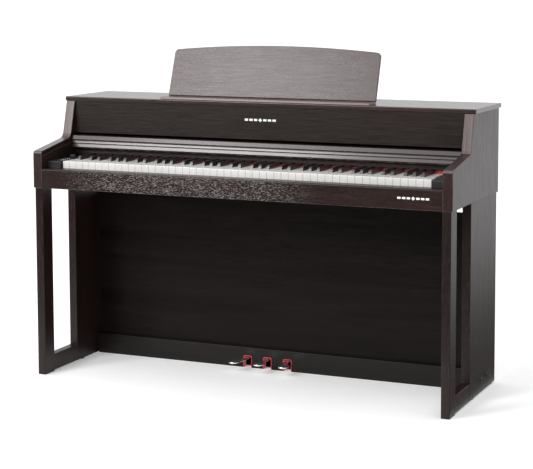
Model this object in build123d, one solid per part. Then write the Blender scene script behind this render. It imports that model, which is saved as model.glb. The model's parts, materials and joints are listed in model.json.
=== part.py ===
from build123d import *
import math
import os

# Digital piano on its stand: a wooden key cabinet on two side frames, with a sliding key
# cover, a folding music rest, 88 sprung keys and three pedals.
# Millimetres. X runs along the keyboard to the treble end, Y runs from the player to the
# wall, Z is up. The origin is on the floor, below the middle of the whole outline.

# ---------------------------------------------------------------- driving dimensions
LID_HALF = 695.0            # half the width of the lid, the widest piece
FRONT_Y, BACK_Y = -237.0, 237.0
TOP_Z = 874.0               # top of the lid
LID_T = 14.0
LID_FRONT_Y = -32.0
BED_Z = 599.0               # underside of the key cabinet
SIDE_OUT, SIDE_IN = 690.0, 660.0
SIDE_BACK_Y = 228.0
LEG_OUT, LEG_IN = 685.5, 658.5
SLOPE = 9.5                 # fall of the arms and of the key cover towards the player, degrees
BOARD = 16.0                # thickness of the ordinary boards
THIN_BOARD = 12.0
EDGE_ROUND = 1.5            # rounding of the boards' long edges
CUT = 1.0                   # how far a cutting shape runs past the face it cuts

KEY_PITCH = 23.5            # one white key with its gap
KEY_GAP = 1.0
WHITE_COUNT = 52
KEY_FRONT_Y = -189.4
KEY_TOP_Z = 681.7
KEY_UNDER_Z = 668.0
KEY_LIP_Z = 658.0           # foot of the plate on the front of a white key
HEAD_LENGTH = 50.0          # front part of a white key, ahead of the black keys
BLACK_TOP_Z = 694.0
BLACK_HALF = 5.5
BLACK_SLOT = 13.5           # room between two white keys for a black one
BLACK_REAR_Y = -43.0
CAP_REAR_Y = -33.0
PIVOT_Y, PIVOT_Z = 35.0, 669.0
STICK_HALF, STICK_Z = 4.5, (663.0, 677.0)
STICK_REAR_Y, STICK_LAP = 47.0, 20.0
KEY_BORE_R = 2.05
KEY_ROD_R = 2.0

SLIP_LEDGE_Z = 660.0
SLIP_LEDGE_Y = -191.0
CHEEK_IN = 615.0
CHEEK_TOP_Z = 682.0
CHEEK_FRONT_Y, CHEEK_ROUND = -203.0, 2.5
NAME_Y, NAME_T = -41.0, 12.0
NAME_STEP_Z, NAME_TOP_Z, NAME_STEP = 697.0, 706.0, 3.0
NAME_FELT_Z = (682.4, 687.4)

PANEL_Y, PANEL_FOOT_Z = -28.0, 757.0
COVER_TRAVEL = 55 * math.pi  # whole teeth of the racks, about 173 mm
RAIL_Y, RAIL_FOOT_Z, RAIL_TOP_Z, RAIL_DEPTH = -58.0, 708.3, 750.0, 20.0
COVER_HALF = 656.0
COVER_T = 6.0
COVER_REAR_Y = 158.0
# The rail's ribs seen from the end, top first: set-back from the front, drop from the top, corner radius.
RIB_POINTS = (
    (7.5, 0.0, 2.0), (1.0, 12.7, 1.2), (5.5, 13.7, 0.6), (5.5, 16.7, 0.6), (3.4, 17.5, 0.8), (1.4, 24.2, 0.8),
    (4.0, 25.0, 0.4), (4.0, 26.2, 0.4), (2.6, 27.0, 0.8), (0.0, 36.5, 1.5), (2.5, 41.7, 1.2))
PINION_TEETH = 16
PINION_PITCH_R = 8.0
TOOTH_PITCH = math.pi       # circular pitch of module one teeth
STUD_Y, STUD_Z, STUD_R = -48.0, 735.0, 4.0
STUD_SINK, STUD_END_GAP = 5.0, 0.6

REST_Y, REST_Z = 53.0, 881.0
REST_LEAN = 19.0
REST_HALF = 355.0
REST_HEIGHT, REST_ARCH = 151.0, 17.0
REST_BACK_OFFSET = 4.0      # the panel's back stands this far in front of its hinge line
REST_T = 9.0
STAY_UP, STAY_LENGTH = 60.0, 85.0
STAY_SPREAD = 63.4          # angle between the stay and the panel's foot end at rest, degrees

PEDAL_X = {"soft_pedal": -105.0, "sostenuto_pedal": -35.0, "damper_pedal": 35.0}
PEDAL_SPLAY = {"soft_pedal": -17.0, "sostenuto_pedal": 0.0, "damper_pedal": 17.0}
PEDAL_AXLE_Y, PEDAL_AXLE_Z, PEDAL_AXLE_R = 186.0, 30.0, 3.0
PEDAL_TOP_Z, PEDAL_T = 36.5, 7.5
RAIL_FACE_Y, PEDAL_RAIL_T, PEDAL_RAIL_TOP = 96.0, 18.0, 66.0
SLOT_HALF, SLOT_TOP_Z, FELT_T = 15.0, 39.5, 2.0
FELT_PLAY = 0.05            # glue line between a slot and its felt


# ---------------------------------------------------------------- small helpers
def block(x, y, z):
    """A box from three (low, high) pairs."""
    size = [high - low for low, high in (x, y, z)]
    return Pos(x[0], y[0], z[0]) * Box(*size, align=(Align.MIN, Align.MIN, Align.MIN))


def rod_x(radius, x0, x1, y, z):
    """A cylinder lying along X."""
    return Pos((x0 + x1) / 2, y, z) * Rot(0, 90, 0) * Cylinder(radius, abs(x1 - x0))


def rod_y(radius, x, y0, y1, z):
    """A cylinder lying along Y."""
    return Pos(x, (y0 + y1) / 2, z) * Rot(90, 0, 0) * Cylinder(radius, abs(y1 - y0))


def rod_z(radius, x, y, z0, z1):
    """A cylinder standing along Z."""
    return Pos(x, y, (z0 + z1) / 2) * Cylinder(radius, abs(z1 - z0))


def rounded_face(points):
    """A flat face from (a, b, corner radius) points."""
    face = make_face(Polyline(*[(a, b) for a, b, _ in points], close=True))
    for a, b, radius in points:
        if radius:
            corner = face.vertices().sort_by_distance((a, b, 0))[0]
            face = fillet(corner, radius)
    return face


def slab_x(points, x0, x1):
    """An outline of (y, z, corner radius) points, made x0 to x1 thick."""
    profile = Plane.YZ * rounded_face(points)
    return Pos(x0, 0, 0) * extrude(profile, amount=x1 - x0, dir=(1, 0, 0))


def both(right):
    """The mirror image of a right-hand piece, for the left."""
    return mirror(right, about=Plane.YZ)


def slope_z(y, y0, z0):
    """Height at y of the line through (y0, z0) that falls towards the player."""
    return z0 + (y - y0) * math.tan(math.radians(SLOPE))


def save(name, *solids):
    """Write one node as one STEP file."""
    shape = solids[0] if len(solids) == 1 else Compound(children=list(solids))
    export_step(shape, f"parts/{name}.step")


# ---------------------------------------------------------------- stand
POST_FRONT_Y, POST_BACK_Y = -235.0, -181.0
LEG_PANEL_Y, LEG_BACK_Y = -42.0, 226.0
FOOT_Z, FOOT_TOP_Z = 4.0, 56.0
BOLT_SPOTS = ((76.0, 44.0), (138.0, 44.0))
BOLT_HEAD_R, BOLT_HEAD_T, BOLT_R, BOLT_SINK = 6.5, 2.5, 3.0, 22.0
BOLT_PLAY = 0.2
SOCKET_R, SOCKET_DEPTH = 2.2, 1.5
GLIDE_R = 12.0
GLIDE_SPOTS = (0.0, 198.0)
BACK_PANEL_Z = (50.0, 544.5)
SLOT_ROUND = 5.0
FELT_PROUD, FELT_FOOT_Z = 1.2, 0.5


def front_post():
    post = block((LEG_IN, LEG_OUT), (POST_FRONT_Y, POST_BACK_Y), (0, BED_Z))
    return fillet(post.edges().filter_by(Axis.Z), EDGE_ROUND)


def foot_rail():
    return block((LEG_IN, LEG_OUT), (POST_BACK_Y, LEG_PANEL_Y), (FOOT_Z, FOOT_TOP_Z))


def rear_panel():
    panel = block((LEG_IN, LEG_OUT), (LEG_PANEL_Y, LEG_BACK_Y), (FOOT_Z, BED_Z))
    panel = fillet(panel.edges().filter_by(Axis.Z), EDGE_ROUND)
    for y, z in BOLT_SPOTS:
        panel -= rod_x(BOLT_R + BOLT_PLAY, LEG_OUT - BOLT_SINK - CUT, LEG_OUT + CUT, y, z)
    return panel


def stand_bolts():
    """Round-headed furniture bolts with a hexagon socket, two on each side."""
    bolts = []
    for y, z in BOLT_SPOTS:
        bolt = rod_x(BOLT_HEAD_R, LEG_OUT, LEG_OUT + BOLT_HEAD_T, y, z)
        bolt = fillet(bolt.edges().group_by(Axis.X)[-1], BOLT_HEAD_T - CUT)
        bolt += rod_x(BOLT_R, LEG_OUT - BOLT_SINK, LEG_OUT, y, z)
        hexagon = Plane.YZ * RegularPolygon(SOCKET_R, 6)
        socket = extrude(hexagon, amount=SOCKET_DEPTH + CUT, dir=(1, 0, 0))
        bolt -= Pos(LEG_OUT + BOLT_HEAD_T - SOCKET_DEPTH, y, z) * socket
        bolts += [bolt, both(bolt)]
    return bolts


def floor_glides():
    x = (LEG_IN + LEG_OUT) / 2
    glides = [rod_z(GLIDE_R, x, y, 0, FOOT_Z) for y in GLIDE_SPOTS]
    return glides + [both(glide) for glide in glides]


def back_panel():
    """Thin board behind the player's knees."""
    y0 = RAIL_FACE_Y + PEDAL_RAIL_T
    return block((-LEG_IN, LEG_IN), (y0, y0 + THIN_BOARD), BACK_PANEL_Z)


def slot_outline(x, half, top):
    """Arch of a pedal slot as (x, z, radius) points, open below the floor line."""
    left, right = x - half, x + half
    return [(left, -CUT, 0), (right, -CUT, 0), (right, top, SLOT_ROUND), (left, top, SLOT_ROUND)]


def prism_y(points, y0, y1):
    """An outline of (x, z, corner radius) points, carried from y0 to y1."""
    face = Plane.XZ * rounded_face(points)
    return Pos(0, y0, 0) * extrude(face, amount=y1 - y0, dir=(0, 1, 0))


def pedal_rail():
    y0, y1 = RAIL_FACE_Y, RAIL_FACE_Y + PEDAL_RAIL_T
    rail = block((-LEG_IN, LEG_IN), (y0, y1), (0, PEDAL_RAIL_TOP))
    rail = fillet(rail.edges().filter_by(Axis.X).group_by(Axis.Y)[0].sort_by(Axis.Z)[-1], EDGE_ROUND)
    for x in PEDAL_X.values():
        rail -= prism_y(slot_outline(x, SLOT_HALF, SLOT_TOP_Z), y0 - CUT, y1 + CUT)
    return rail


def slot_felts():
    """Red felt that lines each pedal slot and stands a little proud of the rail."""
    felts = []
    for x in PEDAL_X.values():
        y0, y1 = RAIL_FACE_Y - FELT_PROUD, RAIL_FACE_Y + PEDAL_RAIL_T
        outer = prism_y(slot_outline(x, SLOT_HALF - FELT_PLAY, SLOT_TOP_Z - FELT_PLAY), y0, y1)
        inner = prism_y(slot_outline(x, SLOT_HALF - FELT_T, SLOT_TOP_Z - FELT_T), y0 - CUT, y1 + CUT)
        floor = block((x - SLOT_HALF, x + SLOT_HALF), (y0 - CUT, y1 + CUT), (-2 * CUT, FELT_FOOT_Z))
        felts.append(outer - inner - floor)
    return felts


# ---------------------------------------------------------------- pedals
BOX_X = (-170.0, 100.0)
BOX_Y = (RAIL_FACE_Y + PEDAL_RAIL_T, 214.0)
BOX_Z = (3.0, 49.5)
SHEET = 2.0
AXLE_END = 3.0              # the axle's ends stand out of the box by this much
AXLE_PLAY = 0.05
NECK_HALF, HUB_R = 8.0, 8.0
FOOT_HALF, FOOT_TIP_Y, FOOT_ROUND = 17.0, 11.0, 14.0
BEND_Y, SWELL_Y, BEND_ROUND = 82.0, 46.0, 30.0
SWELL_IN = 3.0              # the foot plate is this much narrower where it starts
PEDAL_ROUND = 2.5
COIL_R, COIL_BORE_R, WIRE_R = 5.4, 3.6, 0.8
COIL_X = (9.0, 20.0)        # ends of a coil, from the middle of its pedal
LEG_REACH, LEG_DROP = 40.0, 5.6  # upper leg of a spring: along the arm, and below the axle
HOOK_X = 3.0


def pedal_box():
    """Folded steel box behind the rail, open towards the pedals and over the floor."""
    box = block(BOX_X, BOX_Y, BOX_Z)
    inside = ((BOX_X[0] + SHEET, BOX_X[1] - SHEET), (BOX_Y[0] - CUT, BOX_Y[1] - SHEET))
    box -= block(*inside, (BOX_Z[0] + SHEET, BOX_Z[1] - SHEET))
    return box - rod_x(PEDAL_AXLE_R + 0.03, BOX_X[0] - CUT, BOX_X[1] + CUT, PEDAL_AXLE_Y, PEDAL_AXLE_Z)


def pedal_axle():
    return rod_x(PEDAL_AXLE_R, BOX_X[0] - AXLE_END, BOX_X[1] + AXLE_END, PEDAL_AXLE_Y, PEDAL_AXLE_Z)


def pedal(name):
    """One pedal: a flat arm that bends outwards and spreads into a rounded foot plate."""
    x, tip = PEDAL_X[name], PEDAL_X[name] + PEDAL_SPLAY[name]
    x0, x1 = x - NECK_HALF, x + NECK_HALF
    swell = FOOT_HALF - SWELL_IN
    points = [
        (x0, PEDAL_AXLE_Y, 0), (x1, PEDAL_AXLE_Y, 0), (x1, BEND_Y, BEND_ROUND),
        (tip + swell, SWELL_Y, BEND_ROUND),
        (tip + FOOT_HALF, FOOT_TIP_Y, FOOT_ROUND), (tip - FOOT_HALF, FOOT_TIP_Y, FOOT_ROUND),
        (tip - swell, SWELL_Y, BEND_ROUND), (x0, BEND_Y, BEND_ROUND)]
    arm = extrude(rounded_face(points), amount=PEDAL_T, dir=(0, 0, 1))
    arm = Pos(0, 0, PEDAL_TOP_Z - PEDAL_T) * arm
    arm = fillet(arm.edges().group_by(Axis.Z)[-1], PEDAL_ROUND)
    lever = arm + rod_x(HUB_R, x0, x1, PEDAL_AXLE_Y, PEDAL_AXLE_Z)
    return lever - rod_x(PEDAL_AXLE_R + AXLE_PLAY, x0 - CUT, x1 + CUT, PEDAL_AXLE_Y, PEDAL_AXLE_Z)


def pedal_springs():
    """A torsion spring beside each hub, one leg on the box floor, one below the arm."""
    springs = []
    for x in PEDAL_X.values():
        x0, x1 = x + COIL_X[0], x + COIL_X[1]
        coil = rod_x(COIL_R, x0, x1, PEDAL_AXLE_Y, PEDAL_AXLE_Z)
        coil -= rod_x(COIL_BORE_R, x0 - CUT, x1 + CUT, PEDAL_AXLE_Y, PEDAL_AXLE_Z)
        foot_y = PEDAL_AXLE_Y + COIL_R - WIRE_R
        foot = rod_z(WIRE_R, x1 - 2 * WIRE_R, foot_y, BOX_Z[0] + SHEET, PEDAL_AXLE_Z)
        leg_x, low = x0 + 2 * WIRE_R, PEDAL_AXLE_Z - LEG_DROP
        leg = rod_y(WIRE_R, leg_x, PEDAL_AXLE_Y - LEG_REACH, PEDAL_AXLE_Y - CUT, low)
        hook = rod_x(WIRE_R, x + HOOK_X, leg_x + WIRE_R, PEDAL_AXLE_Y - LEG_REACH + WIRE_R, low)
        springs.append(coil + foot + leg + hook)
    return springs


# ---------------------------------------------------------------- cabinet
ARM_NOSE_Z = 715.0          # height of the arm's square nose, before its corner is rounded
ARM_START = (-229.0, 716.5)  # y and z of a point on the sloping top of the arm
ARM_BEND_Y, ARM_BEND_ROUND, ARM_NOSE_ROUND, ARM_FOOT_ROUND = -62.0, 26.0, 9.0, 2.0
GROOVE_DEPTH, GROOVE_HALF, GROOVE_Y = 8.0, 4.3, (-224.0, -38.0)
LID_ROUND = 3.0
FELT_END, FELT_LIP, FELT_SHORT = 4.0, 0.6, 3.0
SLIP_FACE_Y, SLIP_T, SLIP_ROUND = FRONT_Y + 1.0, 18.0, 5.0


def side_outline():
    """Side panel seen from the end: low arm in front, tall back, a soft bend between."""
    bend_z = slope_z(ARM_BEND_Y, *ARM_START)
    under_lid = TOP_Z - LID_T
    return [
        (FRONT_Y, BED_Z, ARM_FOOT_ROUND), (FRONT_Y, ARM_NOSE_Z, ARM_NOSE_ROUND),
        (ARM_BEND_Y, bend_z, ARM_BEND_ROUND), (LID_FRONT_Y - 1, under_lid, 0),
        (SIDE_BACK_Y, under_lid, 0), (SIDE_BACK_Y, BED_Z, ARM_FOOT_ROUND)]


def side_panel():
    """The panel with the groove its key cover runs in."""
    panel = slab_x(side_outline(), SIDE_IN, SIDE_OUT)
    y0, y1 = GROOVE_Y
    middle, length = (y0 + y1) / 2, (y1 - y0) / math.cos(math.radians(SLOPE))
    groove = Rot(SLOPE, 0, 0) * Box(GROOVE_DEPTH * 2, length, 2 * GROOVE_HALF)
    return panel - Pos(SIDE_IN, middle, slope_z(middle, STUD_Y, STUD_Z)) * groove


def top_lid():
    lid = block((-LID_HALF, LID_HALF), (LID_FRONT_Y, BACK_Y), (TOP_Z - LID_T, TOP_Z))
    return fillet(lid.edges().filter_by(Axis.X).group_by(Axis.Y)[0], LID_ROUND)


def front_panel():
    panel = block((-SIDE_IN, SIDE_IN), (PANEL_Y, PANEL_Y + BOARD), (PANEL_FOOT_Z, TOP_Z - LID_T))
    return fillet(panel.edges().filter_by(Axis.X).group_by(Axis.Z)[0], EDGE_ROUND)


def name_rail():
    """Stepped rail behind the keys; the keys run back under it."""
    back = NAME_Y + NAME_T
    points = [
        (NAME_Y, NAME_FELT_Z[1], 0), (NAME_Y, NAME_STEP_Z, 1.2), (NAME_Y + NAME_STEP, NAME_STEP_Z + 0.4, 0),
        (NAME_Y + NAME_STEP, NAME_TOP_Z, 1.2), (back, NAME_TOP_Z, 0), (back, NAME_FELT_Z[1], 0)]
    return slab_x(points, -SIDE_IN, SIDE_IN)


def name_felt():
    """Red felt strip glued under the name rail, just clear of the key tops."""
    end = CHEEK_IN - FELT_END
    return block((-end, end), (NAME_Y - FELT_LIP, NAME_Y + NAME_T - FELT_SHORT), NAME_FELT_Z)


def key_slip():
    """Board in front of the keys with a deep flat ledge along its top."""
    back = SLIP_FACE_Y + SLIP_T
    under_ledge = SLIP_LEDGE_Z - BOARD
    points = [
        (SLIP_FACE_Y, BED_Z, 0), (SLIP_FACE_Y, SLIP_LEDGE_Z, SLIP_ROUND),
        (SLIP_LEDGE_Y, SLIP_LEDGE_Z, EDGE_ROUND), (SLIP_LEDGE_Y, under_ledge, 0),
        (back, under_ledge, 0), (back, BED_Z, 0)]
    return slab_x(points, -SIDE_IN, SIDE_IN)


SPEAKER_X, SPEAKER_Y, SPEAKER_HOLE_R = 400.0, 140.0, 52.0


def key_bed():
    """Bottom board of the cabinet, with a round opening for each speaker."""
    bed = block((-SIDE_IN, SIDE_IN), (SLIP_FACE_Y + SLIP_T, SIDE_BACK_Y), (BED_Z, BED_Z + BOARD))
    for x in (-SPEAKER_X, SPEAKER_X):
        bed -= rod_z(SPEAKER_HOLE_R, x, SPEAKER_Y, BED_Z - CUT, BED_Z + BOARD + CUT)
    return bed


SOCKET_PLATE_X, SOCKET_PLATE_Z = (300.0, 470.0), (640.0, 700.0)
SOCKET_PLATE_T, SOCKET_BODY_DEPTH, SOCKET_BODY_IN, SOCKET_HOLE_IN = 2.0, 20.0, 10.0, 6.0
INLET_X, INLET_Z, INLET_DEPTH = (420.0, 448.0), (660.0, 680.0), 14.0
JACK_COUNT, JACK_START, JACK_PITCH, JACK_R, JACK_BORE_R, JACK_RISE = 4, 24.0, 20.0, 6.0, 3.2, 4.0


def cabinet_back():
    """Rear board of the cabinet, cut out behind the socket plate."""
    y0 = SIDE_BACK_Y - THIN_BOARD
    back = block((-SIDE_IN, SIDE_IN), (y0, SIDE_BACK_Y), (BED_Z + BOARD, TOP_Z - LID_T))
    x, z = [(low + SOCKET_HOLE_IN, high - SOCKET_HOLE_IN) for low, high in (SOCKET_PLATE_X, SOCKET_PLATE_Z)]
    return back - block(x, (y0 - CUT, SIDE_BACK_Y + CUT), z)


def cheek_block(side):
    """Black block at each end of the keys; the left one carries the controls."""
    top = CHEEK_TOP_Z
    cheek = block((CHEEK_IN, SIDE_IN), (CHEEK_FRONT_Y, NAME_Y), (BED_Z + BOARD, top))
    over_slip = ((CHEEK_IN - CUT, SIDE_IN + CUT), (CHEEK_FRONT_Y - CUT, SLIP_LEDGE_Y))
    cheek -= block(*over_slip, (BED_Z, SLIP_LEDGE_Z))
    front = cheek.edges().filter_by(Axis.X).group_by(Axis.Z)[-1].sort_by(Axis.Y)[0]
    cheek = fillet(front, CHEEK_ROUND)
    if side == "right":
        return cheek - rod_z(POWER_R + BUTTON_PLAY, POWER_X, POWER_Y, top - POWER_HOLE, top + CUT)
    cheek = both(cheek)
    cheek -= rod_z(KNOB_SHAFT_R + 0.05, KNOB_X, KNOB_Y, top - KNOB_SHAFT - CUT, top + CUT)
    width, depth, _ = BUTTON_SIZE
    for y in BUTTON_Y:
        x0, x1 = KNOB_X - width / 2 - BUTTON_PLAY, KNOB_X + width / 2 + BUTTON_PLAY
        y0, y1 = y - depth / 2 - BUTTON_PLAY, y + depth / 2 + BUTTON_PLAY
        cheek -= block((x0, x1), (y0, y1), (top - BUTTON_HOLE, top + CUT))
    return cheek


# ---------------------------------------------------------------- controls
KNOB_X, KNOB_Y, KNOB_R, KNOB_H = -637.5, -88.0, 10.0, 9.0
KNOB_SHAFT_R, KNOB_SHAFT, KNOB_RISE = 3.0, 13.0, 0.6
KNOB_NOTCH_HALF, KNOB_NOTCH_Y, KNOB_NOTCH_DEPTH = 0.6, (-11.0, -4.0), 1.5
CAP_ROUND = 0.8
BUTTON_Y = tuple(-168.0 + 11.0 * i for i in range(5))
BUTTON_SIZE, BUTTON_RISE, BUTTON_PLAY, BUTTON_HOLE = (10.0, 6.0, 8.0), 2.0, 0.4, 11.0
POWER_X, POWER_Y, POWER_R, POWER_SINK, POWER_HOLE = 637.5, -168.0, 6.5, 6.0, 12.0


def volume_knob():
    """Turned knob with a pointer notch and a shaft that sits in the block."""
    base = CHEEK_TOP_Z + KNOB_RISE
    top = base + KNOB_H
    knob = rod_z(KNOB_R, KNOB_X, KNOB_Y, base, top)
    knob = fillet(knob.edges().group_by(Axis.Z)[-1], KNOB_NOTCH_DEPTH)
    knob += rod_z(KNOB_SHAFT_R, KNOB_X, KNOB_Y, CHEEK_TOP_Z - KNOB_SHAFT, base)
    notch_x = (KNOB_X - KNOB_NOTCH_HALF, KNOB_X + KNOB_NOTCH_HALF)
    notch_y = (KNOB_Y + KNOB_NOTCH_Y[0], KNOB_Y + KNOB_NOTCH_Y[1])
    return knob - block(notch_x, notch_y, (top - KNOB_NOTCH_DEPTH, top + CUT))


def function_buttons():
    """Row of five small buttons that sink into the left block."""
    buttons = []
    for y in BUTTON_Y:
        cap = Pos(KNOB_X, y, CHEEK_TOP_Z + BUTTON_RISE - BUTTON_SIZE[2] / 2) * Box(*BUTTON_SIZE)
        buttons.append(fillet(cap.edges().group_by(Axis.Z)[-1], CAP_ROUND))
    return buttons


def power_button():
    button = rod_z(POWER_R, POWER_X, POWER_Y, CHEEK_TOP_Z - POWER_SINK, CHEEK_TOP_Z + BUTTON_RISE)
    return fillet(button.edges().group_by(Axis.Z)[-1], CAP_ROUND)


# ---------------------------------------------------------------- key cover
def rail_outline():
    """Front rail seen from the end: three ribs that lean back like shingles, grooves between."""
    back = RAIL_Y + RAIL_DEPTH
    foot_rise = RAIL_DEPTH * math.tan(math.radians(SLOPE))
    ribs = [(RAIL_Y + set_back, RAIL_TOP_Z - drop, radius) for set_back, drop, radius in RIB_POINTS]
    return [(back, RAIL_FOOT_Z + foot_rise, 0), (back, RAIL_TOP_Z, 0)] + ribs


def cover_rail():
    """The ribbed rail with a round stud at each end that runs in the groove of the arm."""
    rail = slab_x(rail_outline(), -COVER_HALF, COVER_HALF)
    for side in (-1, 1):
        root, tip = COVER_HALF - STUD_SINK, SIDE_IN + GROOVE_DEPTH - STUD_END_GAP
        rail += rod_x(STUD_R, side * root, side * tip, STUD_Y, STUD_Z)
    return rail


SHAFT_Y = COVER_REAR_Y + 10
SHAFT_Z = slope_z(SHAFT_Y, RAIL_Y + RAIL_DEPTH, RAIL_TOP_Z - 5)
SHAFT_R = 3.0
EAR_X, EAR_SIZE, EAR_SHIFT = (-600.0, -200.0, 200.0, 600.0), (8.0, 26.0, 12.0), (-6.0, -1.0)
PANEL_TRIM = 30.0           # the tilted board is drawn this much too long and cut flush with the rail


def cover_panel():
    """Thin cover board behind the rail, with four ears that hold its shaft."""
    y0, y1 = RAIL_Y + RAIL_DEPTH, COVER_REAR_Y
    length = (y1 - y0) / math.cos(math.radians(SLOPE))
    middle = (y0 + y1) / 2
    z = slope_z(middle, SHAFT_Y, SHAFT_Z)
    panel = Pos(0, middle, z) * Rot(SLOPE, 0, 0) * Box(2 * COVER_HALF, length, COVER_T)
    wide = COVER_HALF + CUT
    panel -= block((-wide, wide), (y0 - PANEL_TRIM, y0), (z - 2 * PANEL_TRIM, z + 2 * PANEL_TRIM))
    ear_y, ear_z = SHAFT_Y + EAR_SHIFT[0], SHAFT_Z + EAR_SHIFT[1]
    for x in EAR_X:
        panel += Pos(x, ear_y, ear_z) * Rot(SLOPE, 0, 0) * Box(*EAR_SIZE)
        panel -= rod_x(SHAFT_R + 0.05, x - EAR_SIZE[0], x + EAR_SIZE[0], SHAFT_Y, SHAFT_Z)
    return panel


PINION_X = (647.0, 653.0)
TOOTH_ROOT_R, TOOTH_TIP_R, TOOTH_ROOT_HALF, TOOTH_TIP_HALF = 6.0, 8.9, 1.1, 0.35
PINION_CORE_R = PINION_PITCH_R - 1.25
RACK_TOOTH_HALF, RACK_RISE, RACK_DROP = 0.95, 1.0, 1.6  # tooth above and below the pitch line
RACK_BODY, RACK_REACH = 6.0, 7                          # strip thickness; spare teeth at each end
RACK_SIDE_GAP = 2.0


def pinion(x0, x1):
    """A spur pinion, teeth as plain tapered blocks, one tooth straight down."""
    gear = rod_x(PINION_CORE_R, x0, x1, 0, 0)
    tooth = slab_x([
        (-TOOTH_ROOT_HALF, TOOTH_ROOT_R, 0), (TOOTH_ROOT_HALF, TOOTH_ROOT_R, 0),
        (TOOTH_TIP_HALF, TOOTH_TIP_R, 0), (-TOOTH_TIP_HALF, TOOTH_TIP_R, 0)], x0, x1)
    for i in range(PINION_TEETH):
        gear += Rot(180 + i * 360 / PINION_TEETH + SLOPE, 0, 0) * tooth
    return Pos(0, SHAFT_Y, SHAFT_Z) * gear


def cover_shaft():
    """Steel shaft with a pinion at each end, so both ends of the cover move alike."""
    shaft = rod_x(SHAFT_R, -PINION_X[1], PINION_X[1], SHAFT_Y, SHAFT_Z)
    shaft += pinion(*PINION_X)
    return shaft + pinion(-PINION_X[1], -PINION_X[0])


def cover_rack():
    """Toothed plastic strip on the side panel below the shaft, with a gap at each pinion tooth."""
    count = round(COVER_TRAVEL / TOOTH_PITCH) + 2 * RACK_REACH - 6
    x0, x1 = PINION_X[0] - RACK_SIDE_GAP, SIDE_IN
    front = -COVER_TRAVEL - (RACK_REACH - 3) * TOOTH_PITCH
    root, tip = -PINION_PITCH_R - RACK_DROP, -PINION_PITCH_R + RACK_RISE
    strip = block((x0, x1), (front, front + count * TOOTH_PITCH), (root - RACK_BODY, root))
    wide, narrow, sink = RACK_TOOTH_HALF, TOOTH_TIP_HALF, root - 0.1
    teeth = []
    for i in range(count):
        y = front + (i + 0.5) * TOOTH_PITCH
        tooth = [(y - wide, sink, 0), (y + wide, sink, 0), (y + narrow, tip, 0), (y - narrow, tip, 0)]
        teeth.append(slab_x(tooth, x0, x1))
    return Pos(0, SHAFT_Y, SHAFT_Z) * Rot(SLOPE, 0, 0) * strip.fuse(*teeth)


# ---------------------------------------------------------------- keys
WHITE_OF_OCTAVE = ["c", "d", "e", "f", "g", "a", "b"]
BLACK_AFTER = {"c": ("cs", -2.3), "d": ("ds", 2.3), "f": ("fs", -3.4), "g": ("gs", 0.0), "a": ("as", 3.4)}
BLACK_BEFORE = {"d": -2.3, "e": 2.3, "g": -3.4, "a": 0.0, "b": 3.4}
OWN_OCTAVE = 4              # the octave whose keys are nodes of their own
FIRST_NOTE = 5              # the lowest key is an A, the sixth of its octave
LIP_T, HEAD_ROUND = 3.0, 1.5
BLACK_FRONT_GAP, BLACK_FOOT_Z, BLACK_LEAN = 0.8, 671.0, 1.3
BLACK_NOSE = ((1.0, 683.0, 0.0), (8.0, BLACK_TOP_Z, 3.5))  # set-back, height and radius up the sloped front
BLACK_LEAN_Z = 676.0        # the sides lean in above this height


def tail_edges(note):
    """Left and right edge of a white key beside its black neighbours."""
    left, right = KEY_GAP / 2, KEY_PITCH - KEY_GAP / 2
    if note in BLACK_BEFORE:
        left = BLACK_BEFORE[note] + BLACK_SLOT / 2
    if note in BLACK_AFTER:
        right = KEY_PITCH + BLACK_AFTER[note][1] - BLACK_SLOT / 2
    return left, right


def key_bore(x):
    return rod_x(KEY_BORE_R, x - BLACK_SLOT, x + BLACK_SLOT, PIVOT_Y, PIVOT_Z)


def key_stick(x, front):
    """Narrow rear lever of a key, bored for the pivot rod."""
    return block((x - STICK_HALF, x + STICK_HALF), (front, STICK_REAR_Y), STICK_Z) - key_bore(x)


def white_key(note):
    """One white key with its left boundary at X zero."""
    x = (KEY_GAP / 2, KEY_PITCH - KEY_GAP / 2)
    head_end = KEY_FRONT_Y + HEAD_LENGTH
    head = block(x, (KEY_FRONT_Y, head_end), (KEY_UNDER_Z, KEY_TOP_Z))
    head += block(x, (KEY_FRONT_Y, KEY_FRONT_Y + LIP_T), (KEY_LIP_Z, KEY_UNDER_Z + CUT))
    head = fillet(head.edges().filter_by(Axis.X).group_by(Axis.Z)[-1].sort_by(Axis.Y)[0], HEAD_ROUND)
    left, right = tail_edges(note)
    tail = block((left, right), (head_end - CUT, CAP_REAR_Y), (KEY_UNDER_Z, KEY_TOP_Z))
    return head + tail + key_stick((left + right) / 2, CAP_REAR_Y - STICK_LAP)


def black_key():
    """One black key centred on X zero: a sloped front, sides that lean in."""
    y0 = KEY_FRONT_Y + HEAD_LENGTH + BLACK_FRONT_GAP
    points = [(y0, BLACK_FOOT_Z, 0)] + [(y0 + back, z, radius) for back, z, radius in BLACK_NOSE]
    points += [(BLACK_REAR_Y, BLACK_TOP_Z, 0), (BLACK_REAR_Y, BLACK_FOOT_Z, 0)]
    cap = slab_x(points, -BLACK_HALF, BLACK_HALF)
    above = BLACK_TOP_Z + CUT
    for side in (-1, 1):
        wedge = [(side * BLACK_HALF, BLACK_LEAN_Z, 0), (side * (BLACK_HALF - BLACK_LEAN), above, 0),
                 (side * (BLACK_HALF + BLACK_LEAN), above, 0)]
        cap -= prism_y(wedge, y0 - CUT, BLACK_REAR_Y + CUT)
    return cap + key_stick(0, y0 + BLACK_NOSE[-1][0])


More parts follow.
